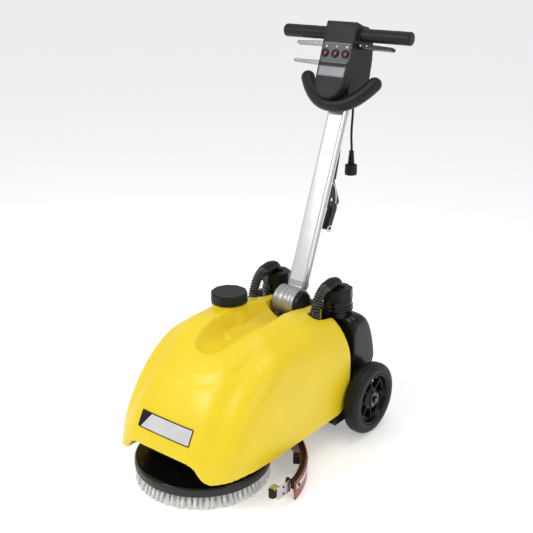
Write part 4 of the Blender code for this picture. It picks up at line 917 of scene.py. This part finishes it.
base = temp(disc(-0.0350, -0.0222, 0.0412, 0.0012, 0.0083))
for b_ in (disc(0.0085, 0.0300, 0.0412, 0.0014, 0.0083),):
    boolean(base, temp(b_), "UNION")
post = prism([(0.3420, 0.0523), (0.400, 0.0523), (0.4005, 0.318), (0.392, 0.352), (0.350, 0.352), (0.3395, 0.318)], -0.035, 0.030, "X")
post = temp(post)
boolean(post, temp(box(-0.0221, 0.0084, 0.30, 0.45, 0.292, 0.45)))
boolean(post, temp(rod(0.0300, -0.05, 0.05, FOLD, "X", 64, 0)))
boolean(base, post, "UNION")
add(finish_temp(base), "hinge_base_cast", CAST, "chassis", ["hinge_base"], smooth=35)
cad("hinge_bolt", STEEL, 0.0006)
for side, x0, x1 in (("left", -0.0353, -0.0440), ("right", 0.0303, 0.0430)):
    g = math.copysign(1, x1)
    prof = [(0, x1), (0.0300, x1 - g * 0.0000), (0.0335, x1 - g * 0.0020), (0.0342, x0 + g * 0.0030), (0.0342, x0), (0, x0)]
    add(ring(fillet(prof, 0.0014, 4, False), 96, FOLD, "X", None, False), "hinge_cover_moulded_" + side, BLACK_ABS, "chassis", ["hinge_cover_" + side], smooth=45)
    add(ring(fillet([(0.0240, x1 - g * 0.0004), (0.0252, x1 + g * 0.0004), (0.0264, x1 - g * 0.0004)], 0.0002, 2), 96, FOLD, "X"), "hinge_cover_bead_" + side, BLACK_ABS, "chassis", ())


def section(hx, hn, r, groove=False, n=8):
    q = rounded(-hx, hx, -hn, hn, r, n)
    m = len(q) // 4
    rt, lt, lb, rb = q[:m], q[m:2 * m], q[2 * m:3 * m], q[3 * m:]
    if not groove:
        return rt + lt + lb + rb
    g = [(hx, -0.0050), (hx - 0.0006, -0.0045), (hx - 0.0045, -0.0042), (hx - 0.0045, 0.0042), (hx - 0.0006, 0.0045), (hx, 0.0050)]
    return g + rt + lt + [(-a, -b_) for a, b_ in g] + lb + rb


# arm: disc, then a neck that widens into the foot of the pole
FS, FN = (Vector(FOLD) - P0).dot(D), (Vector(FOLD) - P0).dot(N)
clev = temp(disc(-0.0217, 0.0080, 0.0408, 0.0013))
neck = []
for k in range(9):
    t = k / 8
    s_ = -0.0420 + (-0.0183 + 0.0420) * t
    e = sstep(t)
    x0_, x1_ = -0.0205 * (1 - e) - 0.0275 * e, 0.0068 * (1 - e) + 0.0275 * e
    n0_, n1_ = (FN - 0.0330) * (1 - e) - 0.0146 * e, (FN + 0.016) * (1 - e) + 0.0146 * e
    neck.append([Vector((x_, s_, n_)) for x_, n_ in rounded(x0_, x1_, n0_, n1_, 0.0080, 6)])
nb = loft(neck)
nb.transform(HF)
boolean(clev, temp(nb), "UNION")
plug = prism(section(0.0200, 0.0117, 0.007), -0.0300, 0.0350, "Z")
plug.transform(Matrix(((1, 0, 0, 0), (0, 0, 1, 0), (0, 1, 0, 0), (0, 0, 0, 1))))
bmesh.ops.recalc_face_normals(plug, faces=plug.faces)
plug.transform(HF)
boolean(clev, temp(plug), "UNION")
boolean(clev, temp(rod(0.0083, -0.05, 0.05, FOLD, "X", 48, 0)))
add(finish_temp(clev), "pole_arm_cast", CAST, "handle", ["pole_clevis"], smooth=35)


def extrude_s(outline, s0, s1, steps=1):
    rows = []
    for k in range(steps + 1):
        s_ = s0 + (s1 - s0) * k / steps
        rows.append([Vector((x, s_, n)) for x, n in outline])
    return loft(rows)


pole = temp(extrude_s(section(0.0280, 0.0150, 0.0095, True), -0.018, 0.600))
boolean(pole, temp(extrude_s(section(0.0205, 0.0122, 0.007), -0.05, 0.65)))
add(finish_temp(pole), "pole_extruded", ALU, "handle", ["pole"], smooth=30, handle=True)
col = temp(extrude_s(section(0.0286, 0.0156, 0.0098), -0.0180, -0.0040))
boolean(col, temp(extrude_s(section(0.0280, 0.0150, 0.0095), -0.03, 0.03)))
add(finish_temp(col), "pole_foot_collar", CAST, "handle", (), smooth=30, handle=True)

# ------------------------------------------------------------------ console


def face_outline(g=0.0, n=20):
    pts = [(-0.0490 + g, 0.6860 - g), (-0.0484 + g, 0.6902 - g), (-0.0450 + g, 0.6915 - g), (0.0450 - g, 0.6915 - g), (0.0484 - g, 0.6902 - g), (0.0490 - g, 0.6860 - g), (0.0460 - g, 0.5500)]
    for k in range(1, n):
        a = math.pi * k / n
        pts.append(((0.0455 - g) * math.cos(a), 0.5370 - (0.0500 - g) * math.sin(a)))
    pts.append((-0.0460 + g, 0.5500))
    return pts


def bumper_path(n=18):
    out = []
    for k in range(n + 1):
        t = -1 + 2 * k / n
        x = 0.107 * t * (1.25 - 0.25 * t * t)
        u = abs(x) / 0.107
        out.append((x, 0.4775 + 0.0680 * u ** 2.3, 0.0400 - 0.0150 * u ** 2))
    return out


cut_path = bumper_path(48)
front = temp(slab(face_outline(), 0.0483, 0.0775))
boolean(front, temp(slab(face_outline(0.003), 0.04, 0.0735)))
rear = temp(prism([(0.6910, 0.0480), (0.6960, 0.0200), (0.6860, -0.0080), (0.6550, -0.0230), (0.6200, -0.0340), (0.5600, -0.0440), (0.5150, -0.0460), (0.5060, -0.0400), (0.5060, 0.0480)], -0.0460, 0.0460, "X"))
inner = prism([(0.6880, 0.0600), (0.6925, 0.0200), (0.6830, -0.0055), (0.6190, -0.0305), (0.5600, -0.0403), (0.5180, -0.0423), (0.5095, -0.0365), (0.5095, 0.0600)], -0.0425, 0.0425, "X")
boolean(rear, temp(inner))
boolean(rear, temp(extrude_s(section(0.0283, 0.0153, 0.0095), 0.45, 0.603)))
for part in (front, rear):
    boolean(part, temp(rod(0.0128, -0.25, 0.25, (0, GRIP_S, GRIP_N), "X", 48, 0)))
    boolean(part, temp(sweep(cut_path, 0.0199, 32)))
for x in (-0.0320, 0.0, 0.0320):
    boolean(front, temp(rod(0.0088, 0.06, 0.09, (x, 0.6050, 0), "Z", 40, 0)))
for s in (-1, 1):
    lug = slab([(s * 0.0440, 0.6310), (s * 0.0600, 0.6310), (s * 0.0610, 0.6320), (s * 0.0610, 0.6420), (s * 0.0600, 0.6430), (s * 0.0440, 0.6460)], GRIP_N - 0.0120, GRIP_N - 0.0080)
    boolean(rear, temp(lug), "UNION")
    boolean(rear, temp(rod(0.0022, GRIP_N - 0.0125, GRIP_N + 0.0095, (s * 0.0560, 0.6370, 0), "Z", 24, 0.0004)), "UNION")
rb = finish_temp(rear)
rb.transform(HF)
rear = temp(rb)
boolean(rear, temp(rod(0.0063, 0.83, 0.885, (CORD_X, CORD_Y, 0), "Z", 32, 0)))
add(finish_temp(rear), "console_back_shell", BLACK_ABS, "handle", ["console_rear"], smooth=30, bevel=0.0028)
add(finish_temp(front), "console_front_shell", FACE, "handle", ["console_front"], smooth=30, handle=True, bevel=0.0022)
# raised rib that follows the face's outline, lower edge and all
o1, o2 = face_outline(0.0026), face_outline(0.0052)
rib = bmesh.new()
vo = [[rib.verts.new((x, s_, n_)) for x, s_ in o_] for o_, n_ in ((o1, 0.0772), (o1, 0.0786), (o2, 0.0786), (o2, 0.0772))]
mseg = len(o1)
for a_, b_ in zip(vo, vo[1:] + vo[:1]):
    for k in range(mseg):
        rib.faces.new((a_[k], a_[(k + 1) % mseg], b_[(k + 1) % mseg], b_[k]))
bmesh.ops.recalc_face_normals(rib, faces=rib.faces)
add(rib, "console_face_rim", FACE, "handle", (), smooth=30, handle=True, bevel=0.0005)

# switch panel with a light outline, bezels, lenses and generic icons
pan = temp(slab(rounded(-0.0445, 0.0445, 0.5820, 0.6330, 0.0075, 8), 0.0777, 0.0784))
line = temp(slab(rounded(-0.0455, 0.0455, 0.5810, 0.6340, 0.0082, 8), 0.0776, 0.0782))
for ob_ in (pan, line):
    for x in (-0.0320, 0.0, 0.0320):
        boolean(ob_, temp(rod(0.0090, 0.06, 0.09, (x, 0.6050, 0), "Z", 48, 0)))
add(finish_temp(line), "switch_panel_outline", SILVER, "handle", ["switch_panel"], smooth=30, handle=True)
add(finish_temp(pan), "switch_panel_face", PANEL, "handle", (), smooth=30, handle=True)
for x, side in ((-0.0320, "left"), (0.0, "middle"), (0.0320, "right")):
    c = (x, 0.6050, 0)
    add(ring(fillet([(0.0086, 0.0770), (0.0113, 0.0784), (0.0113, 0.0800), (0.0104, 0.0818), (0.0092, 0.0820), (0.0086, 0.0810)], 0.0005, 3), 64, c, "Z"), "switch_bezel_" + side, BLACK_ABS, "handle", (),
        handle=True, smooth=45)
    lens = ring(fillet([(0, 0.0660), (0.0071, 0.0660), (0.0071, 0.0806), (0.0064, 0.0822), (0.0036, 0.0830), (0, 0.0830)], 0.0006, 3, False), 48, c, "Z", None, False)
    add(lens, "switch_lens_" + side, LENS, "switch_" + side, ["rocker_" + side], handle=True, smooth=45)
    # printed icons: a drop, a fan and a round brush, none of them anybody's mark
    z0, z1 = 0.0783, 0.0787
    cx, cy = x, 0.6238
    if side == "left":
        pts = [(cx, cy + 0.0038)] + [(cx + 0.0022 * math.cos(a), cy - 0.0008 + 0.0022 * math.sin(a)) for a in [math.radians(30 - 240 * k / 10) for k in range(11)]]
        icon = slab(pts, z0, z1)
    elif side == "middle":
        icon = bmesh.new()
        for q in range(3):
            a = math.radians(120 * q + 90)
            merge(icon, slab([(cx + 0.0006 * math.cos(a - 1.2), cy + 0.0006 * math.sin(a - 1.2)), (cx + 0.0032 * math.cos(a - 0.45), cy + 0.0032 * math.sin(a - 0.45)),
                              (cx + 0.0036 * math.cos(a + 0.25), cy + 0.0036 * math.sin(a + 0.25)), (cx + 0.0008 * math.cos(a + 0.8), cy + 0.0008 * math.sin(a + 0.8))], z0, z1))
    else:
        icon = slab(rounded(cx - 0.0036, cx + 0.0036, cy + 0.0004, cy + 0.0022, 0.0006, 3), z0, z1)
        for q in range(4):
            xx = cx - 0.0030 + 0.0020 * q
            merge(icon, slab([(xx - 0.0005, cy - 0.0026), (xx + 0.0005, cy - 0.0026), (xx + 0.0005, cy - 0.0002), (xx - 0.0005, cy - 0.0002)], z0, z1))
    add(icon, "switch_icon_" + side, WHITE, "handle", (), handle=True)

# blank plate under the switches
add(slab(rounded(-0.0420, 0.0420, 0.5440, 0.5710, 0.0020, 4), 0.0777, 0.0786), "console_plate_blank", SILVER, "handle", ["console_plate"], smooth=30, handle=True, bevel=0.0004)
fr = temp(slab(rounded(-0.0406, 0.0406, 0.5454, 0.5696, 0.0014, 4), 0.0784, 0.0789))
boolean(fr, temp(slab(rounded(-0.0396, 0.0396, 0.5464, 0.5686, 0.0010, 4), 0.07, 0.09)))
add(finish_temp(fr), "console_plate_border", PANEL, "handle", (), handle=True)

# ------------------------------------------------------------------ foam bumper and grips
bump = sweep(bumper_path(60), 0.0193, 40, None, 8)
bo = add(bump, "bumper_foam", FOAM, "handle", ["bumper_handle"], smooth=70, handle=True)
cad("handlebar", STEEL, 0.0006)
for s, side in ((-1, "left"), (1, "right")):
    a, b_ = 0.0532, 0.1985
    prof = [(0.0127, a), (0.0166, a), (0.0174, a + 0.0015), (0.0176, a + 0.004)]
    for k in range(1, 30):
        t = k / 30
        prof.append((0.0175 + 0.00022 * math.sin(t * 23.0) * math.sin(t * 7), a + 0.004 + (b_ - 0.0075 - a) * t))
    prof += [(0.0176, b_ - 0.0035), (0.0168, b_ - 0.0012), (0.0150, b_), (0, b_ - 0.0004), (0, 0.1836), (0.0127, 0.1836)]
    prof = [(r, s * x_) for r, x_ in prof]
    g = ring(prof, 64, (0, GRIP_S, GRIP_N), "X")
    go = add(g, "grip_foam_" + side, FOAM, "handle", ["grip_" + side], smooth=50, handle=True)

# triggers: a folded channel on the left, a solid one on the right, with a thin gunmetal strip along its lower edge as a
# painted highlight
cad("trigger_left", ZINC, 0.0008)
cad("trigger_right", BLACK_ABS, 0.0010)
# painted highlight: a gunmetal strip laid along the right trigger's lower edge, where the light catches it
edge = slab([(0.0680, 0.6308), (0.1510, 0.6298), (0.1510, 0.6290), (0.0680, 0.6296)], GRIP_N + 0.0040, GRIP_N + 0.0078)
add(edge, "trigger_painted_highlight_right", GUN, "run_trigger_right", (), handle=True)
for s, side in ((-1, "left"), (1, "right")):
    body_name = "run_trigger_" + side
    for j, xx in enumerate((0.0560, 0.0760)):
        if j == 0:
            continue
        add(rod(0.0026, GRIP_N + 0.0074, GRIP_N + 0.0090, (s * xx, 0.6365, 0), "Z", 20, 0.0006), "trigger_screw_%s_%d" % (side, j), ZINC, body_name, (), handle=True)
    add(rod(0.0040, GRIP_N + 0.0078, GRIP_N + 0.0096, (s * 0.0560, 0.6370, 0), "Z", 6, 0.0005), "trigger_pivot_nut_" + side, ZINC, "handle", (), handle=True)

# tilt lever: a bar folded from two flat strips
bars = bmesh.new()
for n0 in (0.0272, 0.0312):
    merge(bars, slab([(-0.0478, 0.5815), (-0.0478, 0.5945), (-0.0640, 0.5950), (-0.1600, 0.5932), (-0.1632, 0.5915), (-0.1640, 0.5890), (-0.1632, 0.5865), (-0.1600, 0.5848), (-0.0640, 0.5812)], n0, n0 + 0.0018))
merge(bars, rod(0.0030, 0.0266, 0.0336, (-0.1560, 0.5890, 0), "Z", 20, 0.0006))
merge(bars, rod(0.0038, 0.0262, 0.0340, (-0.0560, 0.5880, 0), "Z", 20, 0.0006))
add(bars, "tilt_lever_bars", ZINC, "tilt_release", ["tilt_lever"], handle=True, smooth=30)

# ------------------------------------------------------------------ squeegee lift
cad("lift_bracket", BLACK_STEEL, 0.0006)
cad("lift_lever", BLACK_STEEL, 0.0016)
rail = prism([(0.3720, -0.0206), (0.3720, -0.0262), (0.3550, -0.0300), (0.2900, -0.0375), (0.2700, -0.0206)], -0.0130, 0.0178, "X")
add(rail, "lift_bracket_rail", BLACK_STEEL, "handle", (), handle=True, bevel=0.0010)
slot_pts = []
for k in range(9):
    a = math.radians(200 + 75 * k / 8)
    slot_pts.append((0.2320 + 0.030 * math.cos(a) + 0.02, -0.0400 + 0.030 * math.sin(a)))
for s in (1,):
    track = [Vector((s * 0.0134, ss, nn)) for ss, nn in [(0.2780, -0.0300), (0.2700, -0.0440), (0.2580, -0.0560), (0.2420, -0.0650), (0.2260, -0.0700)]]
    add(sweep(smooth_path(track, 0.003), 0.0016, 12, None, 3), "lift_slot_trim", CHROME, "handle", (), handle=True)
    add(rod(0.0052, 0.0132, 0.0170, (0, 0.2320, -0.0400), "X", 6, 0.0006), "lift_bolt_head", CHROME, "handle", (), handle=True)
# ring at the lever's tip
rg = bmesh.new()
pts = [Vector((0, 0.1520 + 0.0085 * math.sin(2 * math.pi * k / 24), -0.0720 + 0.0085 * math.cos(2 * math.pi * k / 24))) for k in range(24)]
rows = []
for k, p in enumerate(pts):
    c_ = Vector((0, 0.1520, -0.0720))
    e1 = (p - c_).normalized()
    rows.append([rg.verts.new(p + e1 * 0.0018 * math.cos(2 * math.pi * j / 10) + Vector((1, 0, 0)) * (0.0114 + 0.0018 * math.sin(2 * math.pi * j / 10))) for j in range(10)])
for k in range(24):
    for j in range(10):
        rg.faces.new((rows[k][j], rows[(k + 1) % 24][j], rows[(k + 1) % 24][(j + 1) % 10], rows[k][(j + 1) % 10]))
bmesh.ops.recalc_face_normals(rg, faces=rg.faces)
add(rg, "lift_lever_ring", CHROME, "squeegee_lever", (), handle=True)

cab = smooth_path([(0, 0.2050, -0.0230), (-0.006, 0.170, -0.0300), (-0.0150, 0.120, -0.0360), (-0.0200, 0.070, -0.0320), (-0.0200, 0.030, -0.0230), (-0.0200, 0.0, -0.0185)], 0.004)
add(sweep(cab, 0.0029, 16), "lift_cable_sheath_upper", RUBBER, "handle", ["lift_cable_upper"], handle=True, smooth=60)
low = smooth_path([(-0.0392, 0.4030, 0.330), (-0.0392, 0.4050, 0.300), (-0.0392, 0.4050, 0.220), (-0.0392, 0.4000, 0.140), (-0.0392, 0.388, 0.085)], 0.006)
add(sweep(low, 0.0029, 16), "lift_cable_sheath_lower", RUBBER, "chassis", ["lift_cable_lower"], smooth=60)
top_end = h(-0.0200, 0.0, -0.0185)
bend_path = smooth_path([tuple(top_end), (-0.026, top_end.y + 0.002, 0.383), (-0.035, 0.4140, 0.356), (-0.0392, 0.4030, 0.330)], 0.004)
bridge = add(sweep(bend_path, 0.0029, 16), "lift_cable_bend", RUBBER, None, smooth=60)
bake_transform(bridge)

# ------------------------------------------------------------------ power lead
CORD_TOP, CORD_END = 0.8444, 0.7260
gl = ring(fillet([(0, 0.8447), (0.0040, 0.8447), (0.0044, 0.8520), (0.0052, 0.8530), (0.0052, 0.8560), (0.0056, 0.8575), (0.0056, 0.8600), (0.0060, 0.8615), (0.0060, 0.8840), (0, 0.8840)], 0.0004, 2, False), 36, (CORD_X, CORD_Y, 0), "Z", None, False)
gland = add(gl, "cord_gland_moulded", RUBBER, "handle", ["cord_gland"], smooth=40)
cp = [(0, 0.7257), (0.0050, 0.7257), (0.0062, 0.7245)]
z = 0.7225
while z > 0.6900:
    t = (0.7225 - z) / 0.0325
    r = 0.0070 + 0.0026 * t
    cp += [(r, z), (r, z - 0.0022), (r - 0.0011, z - 0.0028), (r - 0.0011, z - 0.0040)]
    z -= 0.0046
cp += [(0.0104, 0.6880), (0.0150, 0.6864), (0.0168, 0.6840), (0.0170, 0.6780), (0.0160, 0.6770), (0.0160, 0.6755), (0.0170, 0.6745), (0.0170, 0.6590), (0.0158, 0.6566), (0.0130, 0.6566), (0.0128, 0.6640), (0, 0.6640)]


def knurl(t, r):
    return 1.0 + (0.022 * math.cos(18 * t) if r > 0.0155 else 0.0)


con = add(ring(fillet(cp, 0.0003, 2, False), 108, (CORD_X, CORD_Y, 0), "Z", None, False, knurl), "cord_connector_moulded", BLACK_ABS, "handle", ["cord_connector"], smooth=40)
route = [(CORD_X, CORD_Y, CORD_TOP), (CORD_X, CORD_Y, 0.826), (CORD_X - 0.0012, CORD_Y - 0.001, 0.790), (CORD_X - 0.0012, CORD_Y - 0.001, 0.758),
         (CORD_X, CORD_Y, 0.738), (CORD_X, CORD_Y, CORD_END)]
pts = smooth_path(route, 0.006)
cu = bpy.data.curves.new("lead", "CURVE")
cu.dimensions, cu.bevel_depth, cu.bevel_resolution, cu.use_fill_caps = "3D", 0.0033, 4, True
sp = cu.splines.new("POLY")
sp.points.add(len(pts) - 1)
for q, p in zip(sp.points, pts):
    q.co = (p.x, p.y - YC, p.z, 1.0)
sp.use_smooth = True
cu.materials.append(RUBBER)
lead = bpy.data.objects.new("power_lead", cu)
bpy.context.scene.collection.objects.link(lead)
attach(lead, "handle")
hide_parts("power_cord")

# ------------------------------------------------------------------ floor and light
fl = bmesh.new()
sz = 60.0
fl.faces.new([fl.verts.new(p) for p in ((-sz, -sz, -0.0004), (sz, -sz, -0.0004), (sz, sz, -0.0004), (-sz, sz, -0.0004))])
me = bpy.data.meshes.new("floor")
fl.to_mesh(me)
fl.free()
floor = bpy.data.objects.new("floor", me)
fm = bpy.data.materials.new("m_floor")
fm.use_nodes = True
pb = fm.node_tree.nodes["Principled BSDF"]
pb.inputs["Roughness"].default_value = 0.9
pb.inputs["Emission Color"].default_value = (1.0, 1.0, 1.0, 1.0)
pb.inputs["Emission Strength"].default_value = 0.32
pb.inputs["Specular IOR Level"].default_value = 0.1
nn = fm.node_tree.nodes.new("ShaderNodeTexNoise")
nn.inputs["Scale"].default_value = 3.0
rr_ = fm.node_tree.nodes.new("ShaderNodeMix")
rr_.data_type = "RGBA"
rr_.inputs[6].default_value, rr_.inputs[7].default_value = (0.90, 0.90, 0.90, 1), (0.93, 0.93, 0.93, 1)
fm.node_tree.links.new(nn.outputs["Fac"], rr_.inputs[0])
fm.node_tree.links.new(rr_.outputs[2], pb.inputs["Base Color"])
me.materials.append(fm)
bpy.context.scene.collection.objects.link(floor)

world = bpy.context.scene.world or bpy.data.worlds.new("world")
bpy.context.scene.world = world
world.use_nodes = True
bg = world.node_tree.nodes.get("Background")
bg.inputs["Color"].default_value = (1.0, 1.0, 1.0, 1.0)
bg.inputs["Strength"].default_value = 0.58


def area(name, loc, target, size, power, colour=(1, 1, 1)):
    ld = bpy.data.lights.new(name, "AREA")
    ld.shape, ld.size, ld.energy, ld.color = "DISK", size, power, colour
    ob = bpy.data.objects.new(name, ld)
    ob.location = loc
    ob.rotation_mode = "QUATERNION"
    ob.rotation_quaternion = (Vector(target) - Vector(loc)).to_track_quat("-Z", "Y")
    bpy.context.scene.collection.objects.link(ob)


area("key", (-0.9, -2.0, 2.3), (0, 0, 0.4), 0.9, 34)
area("top", (0.3, 0.2, 3.0), (0, 0, 0.4), 1.8, 18)
area("side", (2.4, -0.2, 1.3), (0, 0, 0.4), 1.2, 10)
bpy.context.scene.view_settings.view_transform = "Standard"
bpy.context.scene.view_settings.look = "None"
